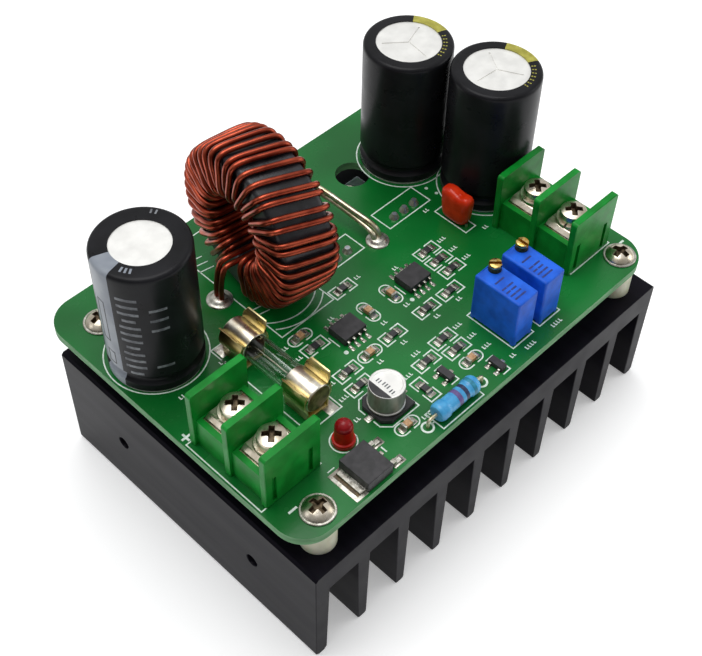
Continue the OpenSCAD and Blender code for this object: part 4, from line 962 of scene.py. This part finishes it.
WIRE_R = 0.494
HALF_GAP = 0.575
LOOP_R = 1.7
LOOP_IN = 6.7
LOOP_OUT = 14.4
LOOP_HALF = 5.55
TURNS = 20
COIL_START = -65.0
TURN_STEP = 334 / TURNS
LOOP_MID = (LOOP_IN + LOOP_OUT) / 2
DIAG = LOOP_R * (1 - math.cos(math.radians(45)))
# Round the core: radius, place along the axis, share of a turn, fan of the pair, and how far the upper strand
# moves in and out
LOOP = ((LOOP_IN, LOOP_HALF - LOOP_R, 0, 0, 1, 0), (LOOP_IN, 0, 0, 0, 1, 0),
        (LOOP_IN, LOOP_R - LOOP_HALF, 0, 0, 1, 0), (LOOP_IN + DIAG, DIAG - LOOP_HALF, 0, 0, 0.8, -0.6),
        (LOOP_IN + LOOP_R, -LOOP_HALF, 0.04, 0.15, 0, -0.5), (LOOP_MID, -LOOP_HALF, 0.13, 0.5, 0, 0),
        (LOOP_OUT - LOOP_R, -LOOP_HALF, 0.22, 0.85, 0, 0), (LOOP_OUT - DIAG, DIAG - LOOP_HALF, 0.25, 1, 0, 0),
        (LOOP_OUT, LOOP_R - LOOP_HALF, 0.285, 1, 0, 0), (LOOP_OUT, 0, 0.5, 1, 0, 0),
        (LOOP_OUT, LOOP_HALF - LOOP_R, 0.715, 1, 0, 0), (LOOP_OUT - DIAG, LOOP_HALF - DIAG, 0.75, 1, 0, 0),
        (LOOP_OUT - LOOP_R, LOOP_HALF, 0.78, 0.85, 0, 0), (LOOP_MID, LOOP_HALF, 0.87, 0.5, 0, 0),
        (LOOP_IN + LOOP_R, LOOP_HALF, 0.96, 0.15, 0, 0.5), (LOOP_IN + DIAG, LOOP_HALF - DIAG, 1, 0, 0.8, 0.6))
# Each pair's own spread on the rim, as a share of a turn, and the spread in the hole, where the upper strand
# is stacked on the others
PAIR_SHARE = (0.42, 0.54, 0.36, 0.48, 0.54, 0.36, 0.48, 0.42, 0.54, 0.33,
              0.57, 0.33, 0.45, 0.33, 0.48, 0.42, 0.54, 0.36, 0.48, 0.42)
HOLE_SHARE = 0.5
STRAND_STACK = 0.8
# Leads from the coil's middle: a place, and the step from the pair's middle to one strand
FRONT_LEAD = (((-7.2, 1.1, 8.8), (0.05, 0.95, 0.6)), ((-8.05, 1.2, 7.9), (0.05, 1, 0.2)),
              ((-8.4, 1.45, 5.4), (0, 1, 0)), ((-8.5, 1.75, 2.6), (0, 1, 0)), ((-8.5, 1.75, 1.2), (0, 1, 0)),
              ((-8.5, 1.75, LEAD_END), (0, 1, 0)))
REAR_LEAD = (((20.4, -7.35, LEAD_END), (1, 0, 0)), ((20.4, -7.35, 1.1), (1, 0, 0)),
             ((20.35, -6.45, 2.1), (0.85, 0, 0.6)), ((20.15, -4.85, 2.7), (0.4, 0, 0.95)),
             ((19.8, -0.85, 3.2), (0, 0, 1)), ((19.4, 4.15, 3.9), (0, 0, 1)), ((18.6, 6.75, 4.5), (0, 0, 1)),
             ((16.3, 8.15, 5.4), (0, 0, 1)), ((12.5, 7.05, 7), (0, 0.2, 1)),
             ((9.25, 3.9, 8.3), (0, 0.4, 0.92)), ((7.55, 1.85, 9), (0, 0.5, 0.87)))
# Points of the rear lead that are tinned
TINNED_POINTS = 7


def coil_point(turn, row, side):
    """A point of a strand on one side of its pair, round the core."""
    radius, x, share, fan, inward, outward = row
    if side > 0:
        radius -= STRAND_STACK * inward
        x += STRAND_STACK * outward
    spread = HOLE_SHARE + fan * (PAIR_SHARE[turn % len(PAIR_SHARE)] - HOLE_SHARE)
    angle = math.radians(COIL_START + (turn + share + side * spread / 2) * TURN_STEP)
    return spot(*beside(*COIL, CORE_TURN, x, radius * math.cos(angle)), COIL_Z + radius * math.sin(angle))


def lead_points(lead, side):
    return [spot(*COIL) + Vector(place) + Vector(step) * side * HALF_GAP for place, step in lead]


def strand(name, side, node):
    """One strand as a smooth round wire: the tinned end of the rear lead, then the enamelled rest."""
    rear = lead_points(REAR_LEAD, side)
    wound = [coil_point(k, row, side) for k in range(TURNS) for row in LOOP]
    wound += [coil_point(TURNS, row, side) for row in LOOP[:3]]
    rest = rear[TINNED_POINTS - 1:] + wound + lead_points(FRONT_LEAD, side)
    finishes = [tinned_wire, enamel_wire]
    curve = bpy.data.curves.new(name, "CURVE")
    curve.dimensions = "3D"
    curve.bevel_depth = WIRE_R * MM
    curve.bevel_resolution = 3
    curve.resolution_u = 4
    curve.use_fill_caps = True
    for finish in finishes:
        curve.materials.append(finish)
    for index, points in enumerate((rear[:TINNED_POINTS], rest)):
        line = curve.splines.new("NURBS")
        line.points.add(len(points) - 1)
        for knot, place in zip(line.points, points):
            knot.co = (*(place * MM), 1)
        line.order_u = 4
        line.use_endpoint_u = True
        line.material_index = index
    holder = shown(name + "_route", curve)
    bpy.context.view_layer.update()
    mesh = bpy.data.meshes.new_from_object(holder.evaluated_get(bpy.context.evaluated_depsgraph_get()))
    bpy.data.objects.remove(holder)
    bm = bmesh.new()
    bm.from_mesh(mesh)
    bpy.data.meshes.remove(mesh)
    bmesh.ops.scale(bm, vec=(1 / MM,) * 3, verts=bm.verts)
    piece(name, bm, finishes, stands_for=[node], smooth=60, merge=False)


strand("wire_strand_1", -1, "inductor_winding_1")
strand("wire_strand_2", 1, "inductor_winding_2")

# Terminal blocks

HOUSING_EDGE = 0.22
BARRIER_FACE = 5.3
BARRIER_FOOT = 6.0
CLAMP_EDGE = 0.12
CLAMP_TOP = 6.6
CLAMP_SHANK = 5.1
LOCK_R = 2.85
LOCK_T = 0.7
LOCK_PLAY = 0.02
CLAMP_HEAD_R = 2.3
CLAMP_HEAD_H = 2.0
CLAMP_DOME = 0.45
CLAMP_DOME_R = CLAMP_HEAD_R - 0.06
CLAMP_CROSS = (0.66 * CLAMP_HEAD_R, 0.42 * CLAMP_HEAD_R, 1.3)
CLAMP_CROSS_TURN = 45
PITCH = 8.0
SHOULDER = LOCK_T + CLAMP_HEAD_H - CLAMP_DOME
CLAMP_PROFILE = [(0, -CLAMP_SHANK), (SCREW_R, -CLAMP_SHANK), (SCREW_R, LOCK_T), (CLAMP_HEAD_R - 0.05, LOCK_T),
                 (CLAMP_HEAD_R, LOCK_T + 0.05), (CLAMP_HEAD_R, SHOULDER - 0.15), (CLAMP_DOME_R, SHOULDER)]


def barrier_edges(at):
    """Picks a housing's edges on the barriers and the outer faces, and leaves the pockets sharp."""
    return lambda edge: all(v.co.z > BOARD.z + BARRIER_FOOT or abs(v.co.x - spot(*at).x) > BARRIER_FACE
                            for v in edge.verts)


# The two gaps are the angles at which the spring washers are cut
for side, at, gaps in (("input", BLOCK_IN, (200, 250)), ("output", BLOCK_OUT, (230, 190))):
    node = side + "_terminal_housing"
    housing = softened(node, HOUSING_EDGE, segments=3, angle=50, shortest=0.1, choose=barrier_edges(at))
    piece(side + "_terminal_moulding", housing, [moulded_green], stands_for=[node],
          flats=1.0)
    for i, s, gap in ((1, 1, gaps[0]), (2, -1, gaps[1])):
        dress(contact_metal, f"{side}_contact_{i}")
        body = f"{side}_terminal_{i}"
        node = f"{side}_clamp_{i}"
        clamp = softened(node, CLAMP_EDGE, angle=30, shortest=0.5)
        piece(node + "_plated", clamp, [nickel], body=body, stands_for=[node], flats=0.8)
        node = f"{side}_screw_{i}"
        screw = bmesh.new()
        middle = spot(at[0], at[1] + s * PITCH / 2, CLAMP_TOP)
        split_washer(screw, middle, SCREW_R + LOCK_PLAY, LOCK_R, LOCK_T, gap)
        recessed(screw, CLAMP_PROFILE, (CLAMP_DOME_R, SHOULDER, CLAMP_DOME), middle, CLAMP_CROSS,
                 turn=CLAMP_CROSS_TURN, pit=1)
        sealed(screw)
        piece(node + "_plated", screw, [nickel, nickel_recess_shade], body=body, stands_for=[node],
              smooth=30)

# Fuse and its clips

FUSE_R = 2.6
FUSE_HALF = 10.0
CAP_START = FUSE_HALF - 5.6
CAP_T = 0.2
CLIP_EDGE = 0.08
GLASS_R = (1.9, 2.4)
GLASS_HALF = 9.8
fuse_middle = spot(*FUSE, FUSE_Z)
cap_section = rounded([(GLASS_R[1], CAP_START), (FUSE_R, CAP_START, 0.08), (FUSE_R, FUSE_HALF, 0.35),
                       (0, FUSE_HALF)], 0.1, 4)
cap_section += [(0, FUSE_HALF - CAP_T), (GLASS_R[1], FUSE_HALF - CAP_T)]
for i, s in (("1", 1), ("2", -1)):
    cap = bmesh.new()
    turned(cap, [(r, h * s) for r, h in cap_section], fuse_middle, axis=Y_AXIS, closed=True)
    sealed(cap)
    # The end faces take the metal with its painted dark reflection.
    for face in cap.faces:
        if abs(middle_of(face).y - FUSE[1]) > FUSE_HALF - CAP_T / 4:
            face.material_index = 1
    piece("fuse_end_" + i, cap, [fuse_metal, fuse_end], stands_for=["fuse_cap_" + i])
    clip = softened("fuse_clip_" + i, CLIP_EDGE, shortest=0.3)
    piece("fuse_spring_clip_" + i, clip, [brass_strip], stands_for=["fuse_clip_" + i],
          smooth=50)
tube = bmesh.new()
section = [(GLASS_R[1], -GLASS_HALF), (GLASS_R[1], GLASS_HALF), (GLASS_R[0], GLASS_HALF),
           (GLASS_R[0], -GLASS_HALF)]
turned(tube, section, fuse_middle, steps=96, axis=Y_AXIS, closed=True)
bmesh.ops.recalc_face_normals(tube, faces=tube.faces)
piece("fuse_glass", tube, [glass], stands_for=["fuse_tube"])
dress(element, "fuse_wire")

# Trimmers

TRIM_EDGE = 0.36
TRIM_TOP = 10.0
# The screw: place from the body's middle, radius, collar, height above the body, width and depth of its slot
TRIM_SCREW = (1.0, 3.35)
TRIM_R = 1.1
TRIM_COLLAR_R = 1.45
TRIM_COLLAR_Z = (7, 7.6)
TRIM_HEAD = 1.5
TRIM_SLOT = (0.5, 0.6)
TRIM_FLOOR = TRIM_TOP + TRIM_HEAD - TRIM_SLOT[1]
TRIM_SHANK = [(0, TRIM_COLLAR_Z[0]), (TRIM_COLLAR_R, TRIM_COLLAR_Z[0]), (TRIM_COLLAR_R, TRIM_COLLAR_Z[1]),
              (TRIM_R, TRIM_COLLAR_Z[1]), (TRIM_R, TRIM_FLOOR), (0, TRIM_FLOOR)]
# Rings of half a slotted head: how far each one draws in, and how far it lies below the top
HEAD_RINGS = ((0, TRIM_SLOT[1]), (0, 0.16), (0.05, 0.05), (0.16, 0))
ARC_PARTS = 20
# Plain bars on the top: place along and across the body, and length
TRIM_MARKS = ((1.1, -1.0, 1.1), (1.1, 0.1, 1.1), (-0.6, -1.3, 1.0), (-0.6, 0.1, 1.5), (-1.5, -1.3, 1.0),
              (-1.5, 0.0, 1.2), (-2.4, -1.2, 1.2), (-2.4, 0.1, 1.2), (-3.3, -1.2, 1.1), (-3.3, 0.1, 1.4))
TRIM_MARK_W = 0.34
TRIM_MARK_T = 0.03
TRIM_MARK_Z = TRIM_TOP + 0.005


def half_moon(bm, middle, turn):
    """Half of a slotted head: a segment of a disc on one side of the slot, with a soft upper edge."""
    rings = []
    for inset, drop in HEAD_RINGS:
        radius = TRIM_R - inset
        start = math.degrees(math.asin((TRIM_SLOT[0] + inset) / 2 / radius))
        turns = [turn + start + (180 - 2 * start) * i / ARC_PARTS for i in range(ARC_PARTS + 1)]
        level = middle + UP * (TRIM_TOP + TRIM_HEAD - drop)
        rings.append([bm.verts.new(level + heading(a) * radius) for a in turns])
    for lower, upper in zip(rings, rings[1:]):
        for i, vert in enumerate(lower):
            bm.faces.new((lower[i - 1], vert, upper[i], upper[i - 1]))
    bm.faces.new(rings[-1])


for name, at, slot_turn in (("current", TRIMMERS[0], -45), ("voltage", TRIMMERS[1], 90)):
    node = name + "_trimmer_body"
    body = softened(node, TRIM_EDGE, segments=4, angle=60, shortest=2.0)
    for along, across, long in TRIM_MARKS:
        mark = spot(at[0] + across, at[1] + along, TRIM_MARK_Z)
        coat(block(body, (long, TRIM_MARK_W, TRIM_MARK_T), mark), 1)
    piece(name + "_trimmer_moulding", body, [trimmer_blue, trimmer_print], stands_for=[node],
          merge=False, flats=2.0)
    screw = bmesh.new()
    middle = spot(at[0] + TRIM_SCREW[0], at[1] + TRIM_SCREW[1])
    # The shank and collar take the brass side with its painted shade.
    coat(turned(screw, TRIM_SHANK, middle), 1)
    for flip in (0, 180):
        half_moon(screw, middle, slot_turn + flip)
    bmesh.ops.recalc_face_normals(screw, faces=screw.faces)
    piece(name + "_trimmer_brass", screw, [turned_brass, brass_side_painted_shade],
          body=name + "_adjuster", stands_for=[name + "_trimmer_screw"], smooth=30)

# Film capacitor: a dipped pillow with its leads

FILM_SIZE = (3.0, 6.8, 6.8)
# Below 1 fills out the pillow along that axis
FILM_FULLNESS = (0.72, 0.48, 0.4)
# Narrower towards the board, and a dip across the top: depth, place and width as shares of half the size
FILM_TAPER = 0.22
FILM_DIP = (0.14, -0.2, 0.3)
FILM_LEAD_Y = 2.5
film = bmesh.new()
for vert in bmesh.ops.create_uvsphere(film, u_segments=48, v_segments=32, radius=1)["verts"]:
    full = [math.copysign(abs(c) ** p, c) for c, p in zip(vert.co, FILM_FULLNESS)]
    full[1] *= 1 - FILM_TAPER * (1 - full[2]) / 2
    if full[2] > 0:
        full[2] -= FILM_DIP[0] * full[2] * math.exp(-((full[1] - FILM_DIP[1]) / FILM_DIP[2]) ** 2)
    vert.co = spot(*FILM, FILM_SIZE[2] / 2) + Vector(c * s / 2 for c, s in zip(full, FILM_SIZE))
for s in (-1, 1):
    lead = spot(FILM[0], FILM[1] + s * FILM_LEAD_Y)
    coat(turned(film, [(LEAD_R, LEAD_END), (LEAD_R, 0.6)], lead, steps=16), 1)
piece("film_capacitor_dipped", film, [dipped_red, tinned_wire], stands_for=["film_capacitor"])

# Surface-mount capacitor

CAN_R = 2.98
CAN_FOOT = 0.9
CAN_TOP = 5.6
CAN_DISH = CAN_TOP - 0.08
CAN_INK_Z = CAN_TOP - 0.06
# The dark sign of the negative side is a disc cut off along a line at this x
SIGN_R = CAN_R - 0.12
SIGN_EDGE = -1.5
SIGN_T = 0.08
# Plain bars on the top, from the can's middle
CAN_BARS = ((-0.5, 1.55), (-0.5, 1.05), (-0.35, 0.35), (-0.35, -0.15), (-0.35, -0.65), (-0.6, -1.4),
            (-0.6, -1.9))
CAN_BAR = (0.75, 0.2, 0.03)
BASE_EDGE = 0.08
# Faces of the base that are its tinned feet: below this height and beyond this x
FOOT_H = 0.25
FOOT_X = 3.32
can = bmesh.new()
section = rounded([(0, CAN_FOOT), (CAN_R - 0.15, CAN_FOOT, 0.2), (CAN_R + 0.1, 1.05, 0.12),
                   (CAN_R + 0.1, 1.3, 0.12), (CAN_R - 0.08, 1.5, 0.1), (CAN_R, 1.9, 0.2),
                   (CAN_R, CAN_TOP, 0.45), (2.55, CAN_TOP, 0.15), (2.45, CAN_DISH, 0.1), (0, CAN_DISH)], 0.3)
turned(can, section, spot(*SURFACE_CAN), steps=64)
sealed(can)
# The can's sides take the aluminium with its painted shade; the top keeps the whitish metal.
for face in can.faces:
    if face.normal.z < LEVEL:
        face.material_index = 1
sign = bmesh.new()
bmesh.ops.create_circle(sign, cap_ends=True, segments=64, radius=SIGN_R,
                        matrix=Matrix.Translation(spot(*SURFACE_CAN, CAN_INK_Z)))
bmesh.ops.bisect_plane(sign, geom=sign.verts[:] + sign.edges[:] + sign.faces[:], clear_outer=True,
                       plane_co=spot(SURFACE_CAN[0] + SIGN_EDGE, SURFACE_CAN[1]), plane_no=X_AXIS)
drawn = bmesh.ops.extrude_face_region(sign, geom=sign.faces[:])["geom"]
bmesh.ops.translate(sign, verts=verts_in(drawn), vec=UP * SIGN_T)
bmesh.ops.recalc_face_normals(sign, faces=sign.faces)
coat(sign.verts, 2)
sign_mesh = bpy.data.meshes.new("sign")
sign.to_mesh(sign_mesh)
sign.free()
can.from_mesh(sign_mesh)
bpy.data.meshes.remove(sign_mesh)
for dx, dy in CAN_BARS:
    coat(block(can, CAN_BAR, spot(SURFACE_CAN[0] + dx, SURFACE_CAN[1] + dy, CAN_INK_Z)), 3)
piece("surface_capacitor_shell", can, [etched_aluminium, aluminium_side_painted_shade, compound, sleeve_print],
      stands_for=["surface_capacitor_can"], merge=False)
base = softened("surface_capacitor_base", BASE_EDGE, angle=30, shortest=0.3)
for face in base.faces:
    at = middle_of(face)
    if at.z < FOOT_H and abs(at.x - SURFACE_CAN[0]) > FOOT_X:
        face.material_index = 1
piece("surface_capacitor_foot", base, [base_black, solder],
      stands_for=["surface_capacitor_base"], flats=0.5)

# Indicator lamp

LENS_R = 1.5
FLANGE_R = 1.9
LENS_SIDE = 3.7
LAMP_LEAD_Y = 1.27
# The dome's painted shade starts a little below it
DOME_FROM = 3.4
lamp = bmesh.new()
section = rounded([(0, 0), (FLANGE_R, 0, 0.05), (FLANGE_R, 0.9, 0.15), (LENS_R, 0.95, 0.1),
                   (LENS_R, LENS_SIDE)], 0.1, 3)
section += [(LENS_R * math.cos(math.radians(a)), LENS_SIDE + LENS_R * math.sin(math.radians(a)))
            for a in range(10, 91, 10)]
turned(lamp, section, spot(*LAMP), steps=40)
for s in (-1, 1):
    lead = spot(LAMP[0], LAMP[1] + s * LAMP_LEAD_Y)
    coat(turned(lamp, [(LEAD_R, LEAD_END), (LEAD_R, 0.3)], lead, steps=16), 1)
sealed(lamp)
for face in lamp.faces:
    if middle_of(face).z > DOME_FROM:
        face.material_index = 2
piece("indicator_lens", lamp, [lens_red, tinned_wire, lens_dome_painted_shade], stands_for=["indicator_lamp"])

# Axial resistor: dog-bone body with colour bands, and its bent leads

RES_R = 1.65
RES_HALF = 4.5
RES_STEP = 0.125
WAIST = 0.2
# The waist starts this far from an end and takes this long to reach its depth
WAIST_FROM = 1.7
WAIST_EASE = 0.5
# An end is round over the last part, by a curve this much fuller than a circle
END_FLAT = 0.9
END_CURVE = 1.6
# Bands, as their middle along the body and their finish, and half a band's width
BANDS = ((0.49, 1), (0.67, 2), (0.85, 3))
BAND_HALF = 0.045
# Bend of a lead, how far it goes into the body, and the angles of the bend's points
LEAD_BEND = 0.6
LEAD_INSIDE = 0.2
BEND_ANGLES = (18, 36, 54, 72, 90)
rod = bmesh.new()


def rod_radius(x):
    """Radius along the dog-bone body: round ends, bulges at both ends, a waist between."""
    from_end = RES_HALF - abs(x)
    bulge = RES_R - WAIST * min(1, max(0, (from_end - WAIST_FROM) / WAIST_EASE))
    end = max(0, RES_R - END_FLAT - from_end) ** 2 * END_CURVE
    return min(bulge, math.sqrt(max(0, RES_R ** 2 - end)))


def bent_lead(bm, path):
    """A round wire along a path of (x, z) points over the resistor's line; returns its vertices."""
    grown = bmesh.ops.create_circle(bm, cap_ends=True, segments=14, radius=LEAD_R, matrix=Matrix.Translation(
        spot(path[0][0], RESISTOR[1], path[0][1])))["verts"]
    for (x0, z0), (x1, z1) in zip(path, path[1:]):
        region = [f for f in faces_of(grown) if all(v in grown for v in f.verts)]
        out = bmesh.ops.extrude_face_region(bm, geom=region)["geom"]
        bmesh.ops.delete(bm, geom=region, context="FACES_ONLY")
        grown = verts_in(out)
        step = Vector((x1 - x0, 0, z1 - z0))
        bmesh.ops.translate(bm, verts=grown, vec=step)
        middle = spot(x1, RESISTOR[1], z1)
        along = step.normalized()
        for vert in grown:
            off = vert.co - middle
            off -= along * off.dot(along)
            vert.co = middle + off.normalized() * LEAD_R
    return linked(grown)


rows = round(RES_HALF / RES_STEP)
profile = [(rod_radius(i * RES_STEP), i * RES_STEP) for i in range(-rows, rows + 1)]
turned(rod, [(0, -RES_HALF), *profile, (0, RES_HALF)], spot(*RESISTOR, RES_R), steps=40, axis=X_AXIS)
sealed(rod)
for face in rod.faces:
    share = (middle_of(face).x - RESISTOR[0] + RES_HALF) / (2 * RES_HALF)
    for middle, index in BANDS:
        if abs(share - middle) < BAND_HALF:
            face.material_index = index
for s in (-1, 1):
    x = RESISTOR[0] + s * RESISTOR_PITCH / 2
    path = [(x, LEAD_END), (x, RES_R - LEAD_BEND)]
    for a in BEND_ANGLES:
        arc = heading(a) * LEAD_BEND
        path.append((x - s * (LEAD_BEND - arc.x), RES_R - LEAD_BEND + arc.y))
    path.append((RESISTOR[0] + s * (RES_HALF - LEAD_INSIDE), RES_R))
    coat(bent_lead(rod, path), 4)
piece("axial_resistor_lacquered", rod, [lacquer_blue, band_purple, band_navy, band_teal, tinned_wire],
      stands_for=["axial_resistor"], smooth=45)

# Packages: moulded bodies with tinned leads

PACKAGE_EDGE = 0.1
CHIP_PACKAGE_EDGE = 0.05
SMALL_PACKAGE_EDGE = 0.04
# Half lengths of the moulded bodies, from their middles
REGULATOR_HALF = 2.72
CHIP_BODY_HALF = 1.97
SMALL_BODY_HALF = 0.67
# The regulator's tab is up to this high at the tab's end of the body
TAB_TOP = 0.55
TAB_REACH = 2.5
# Moulded part of a power package along y; its underside is the metal tab
POWER_BODY_Y = (7.55, 16.6)
POWER_SKIN = 0.02
POWER_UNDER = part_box("power_transistor")[0].z / MM - BOARD.z + POWER_SKIN


def moulded(name, node, inside, width, metal=solder):
    """A softened copy of a package whose faces outside its moulded body are metal."""
    bm = softened(node, width, shortest=0.12)
    for face in bm.faces:
        if not inside(face):
            face.material_index = 1
    piece(name, bm, [compound, metal], stands_for=[node], flats=0.4)


def in_regulator(face):
    at = middle_of(face)
    along = at.x - REGULATOR[0]
    return abs(along) < REGULATOR_HALF and (at.z > TAB_TOP or along > -TAB_REACH)


def in_power_body(face):
    at = middle_of(face)
    return POWER_BODY_Y[0] < at.y < POWER_BODY_Y[1] and (at.z > POWER_UNDER or abs(face.normal.z) < LEVEL)


moulded("regulator_moulding", "regulator", in_regulator, PACKAGE_EDGE)
for i, at in enumerate(CHIPS, 1):
    moulded(f"control_chip_moulding_{i}", f"control_chip_{i}",
            lambda face: abs(middle_of(face).y - at[1]) < CHIP_BODY_HALF, CHIP_PACKAGE_EDGE)
for i, at in enumerate(SMALL_TRANSISTORS, 1):
    moulded(f"small_transistor_moulding_{i}", f"small_transistor_{i}",
            lambda face: abs(middle_of(face).x - at[0]) < SMALL_BODY_HALF, SMALL_PACKAGE_EDGE)
for node in ("power_transistor", "rectifier"):
    moulded(node + "_moulding", node, in_power_body, PACKAGE_EDGE, package_tab)
dress(silicone_pad, "transistor_pad", "rectifier_pad")

# Chip parts

CHIP_EDGE = 0.05
CHIP_BODY = CHIP_HALF - CHIP_END - LAP


def chip_group(name, node, places, finish):
    """Chip parts with a coloured body between two tinned ends."""
    bm = softened(node, CHIP_EDGE, angle=50, shortest=0.2)
    for face in bm.faces:
        at = middle_of(face)
        x, y, turn = min(places, key=lambda p: (p[0] - at.x) ** 2 + (p[1] - at.y) ** 2)
        along = abs(at.y - y) if turn else abs(at.x - x)
        if along > CHIP_BODY:
            face.material_index = 1
    piece(name, bm, [finish, solder], stands_for=[node], flats=0.2)


chip_group("chip_resistor_set", "chip_resistors", CHIP_RESISTORS, chip_black)
chip_group("chip_capacitor_set", "chip_capacitors", CHIP_CAPACITORS, chip_tan)

# Floor, light and camera

FLOOR_HALF = 1.5
# The paper looks whiter than it lights the object, and keeps the object's shadow
FLOOR_GLOW = 0.3
floor_bm = bmesh.new()
bmesh.ops.create_grid(floor_bm, x_segments=2, y_segments=2, size=FLOOR_HALF)
floor_mesh = bpy.data.meshes.new("floor")
floor_bm.to_mesh(floor_mesh)
floor_bm.free()
floor_paint = material("matt_white_paper", base_color=linear("#f7f7f7"), roughness=0.9)
floor_mesh.materials.append(floor_paint)
paper = floor_paint.node_tree
ray = put(paper, "ShaderNodeLightPath").outputs
seen = put(paper, "ShaderNodeMath", {0: ray["Is Camera Ray"], 1: ray["Is Glossy Ray"]}, operation="ADD")
seen = put(paper, "ShaderNodeMath", {0: seen.outputs[0], 1: ray["Is Transmission Ray"]}, operation="ADD",
           use_clamp=True)
glow = put(paper, "ShaderNodeMath", {0: seen.outputs[0], 1: FLOOR_GLOW}, operation="MULTIPLY")
paper.links.new(glow.outputs[0], shader_of(floor_paint).inputs["Emission Strength"])
shown("floor", floor_mesh)

# Studio: bright above and behind the object, dark on the camera's side
BRIGHT_SIDE = (0.36, 0.36, 0.86)
SKY_FADE = (-0.35, 0.75)
SKY_DARK = "#27272a"
SKY_BRIGHT = "#f6f7f8"
SKY_STRENGTH = 0.75
world = bpy.data.worlds.new("studio")
bpy.context.scene.world = world
world.use_nodes = True
sky = world.node_tree
look = put(sky, "ShaderNodeTexCoord").outputs["Generated"]
height = put(sky, "ShaderNodeVectorMath", {0: look, 1: BRIGHT_SIDE}, operation="DOT_PRODUCT").outputs["Value"]
fade = put(sky, "ShaderNodeMapRange", {0: height, 1: SKY_FADE[0], 2: SKY_FADE[1]}).outputs[0]
shade = put(sky, "ShaderNodeMix", {0: fade, 6: linear(SKY_DARK), 7: linear(SKY_BRIGHT)}, data_type="RGBA")
background = sky.nodes["Background"].inputs
sky.links.new(shade.outputs[2], background["Color"])
background["Strength"].default_value = SKY_STRENGTH

# Soft boxes that face the object: place, size and power
PANELS = {"overhead_panel": ((-0.02, 0.12, 0.7), (0.5, 0.4), 2.4),
          "right_panel": ((0.2, -0.14, 0.13), (0.12, 0.12), 0.1),
          "left_panel": ((-0.47, 0.29, 0.335), (0.2, 0.2), 0.14)}
PANEL_TARGET = Vector((0, 0, 0.03))
for name, (place, size, power) in PANELS.items():
    panel = bpy.data.lights.new(name, "AREA")
    panel.shape = "RECTANGLE"
    panel.size, panel.size_y = size
    panel.energy = power
    stand = shown(name, panel)
    stand.location = place
    stand.rotation_euler = (PANEL_TARGET - Vector(place)).to_track_quat("-Z", "Y").to_euler()

# Camera, as solved from the photograph's edges: place in millimetres, angles and focal length
EYE = Vector((-108.668, -101.653, 196.727))
AZIMUTH, ELEVATION, ROLL = (math.radians(a) for a in (-46.393, 49.772, 1.34))
FOCAL_PIXELS = 1302.457
IMAGE_WIDTH = 702
level = math.cos(ELEVATION)
back = Vector((math.sin(AZIMUTH) * level, -math.cos(AZIMUTH) * level, math.sin(ELEVATION)))
right = UP.cross(back).normalized()
up = back.cross(right)
tilted_right = right * math.cos(ROLL) + up * math.sin(ROLL)
tilted_up = up * math.cos(ROLL) - right * math.sin(ROLL)
lens = bpy.data.cameras.new("camera")
lens.sensor_fit = "HORIZONTAL"
lens.sensor_width = 36
lens.lens = FOCAL_PIXELS * lens.sensor_width / IMAGE_WIDTH
lens.clip_start = 0.01
camera = shown("camera", lens)
facing = Matrix((tilted_right, tilted_up, back)).transposed().to_4x4()
camera.matrix_world = Matrix.Translation(EYE * MM) @ facing
bpy.context.scene.camera = camera
bpy.context.scene.view_settings.view_transform = "Standard"
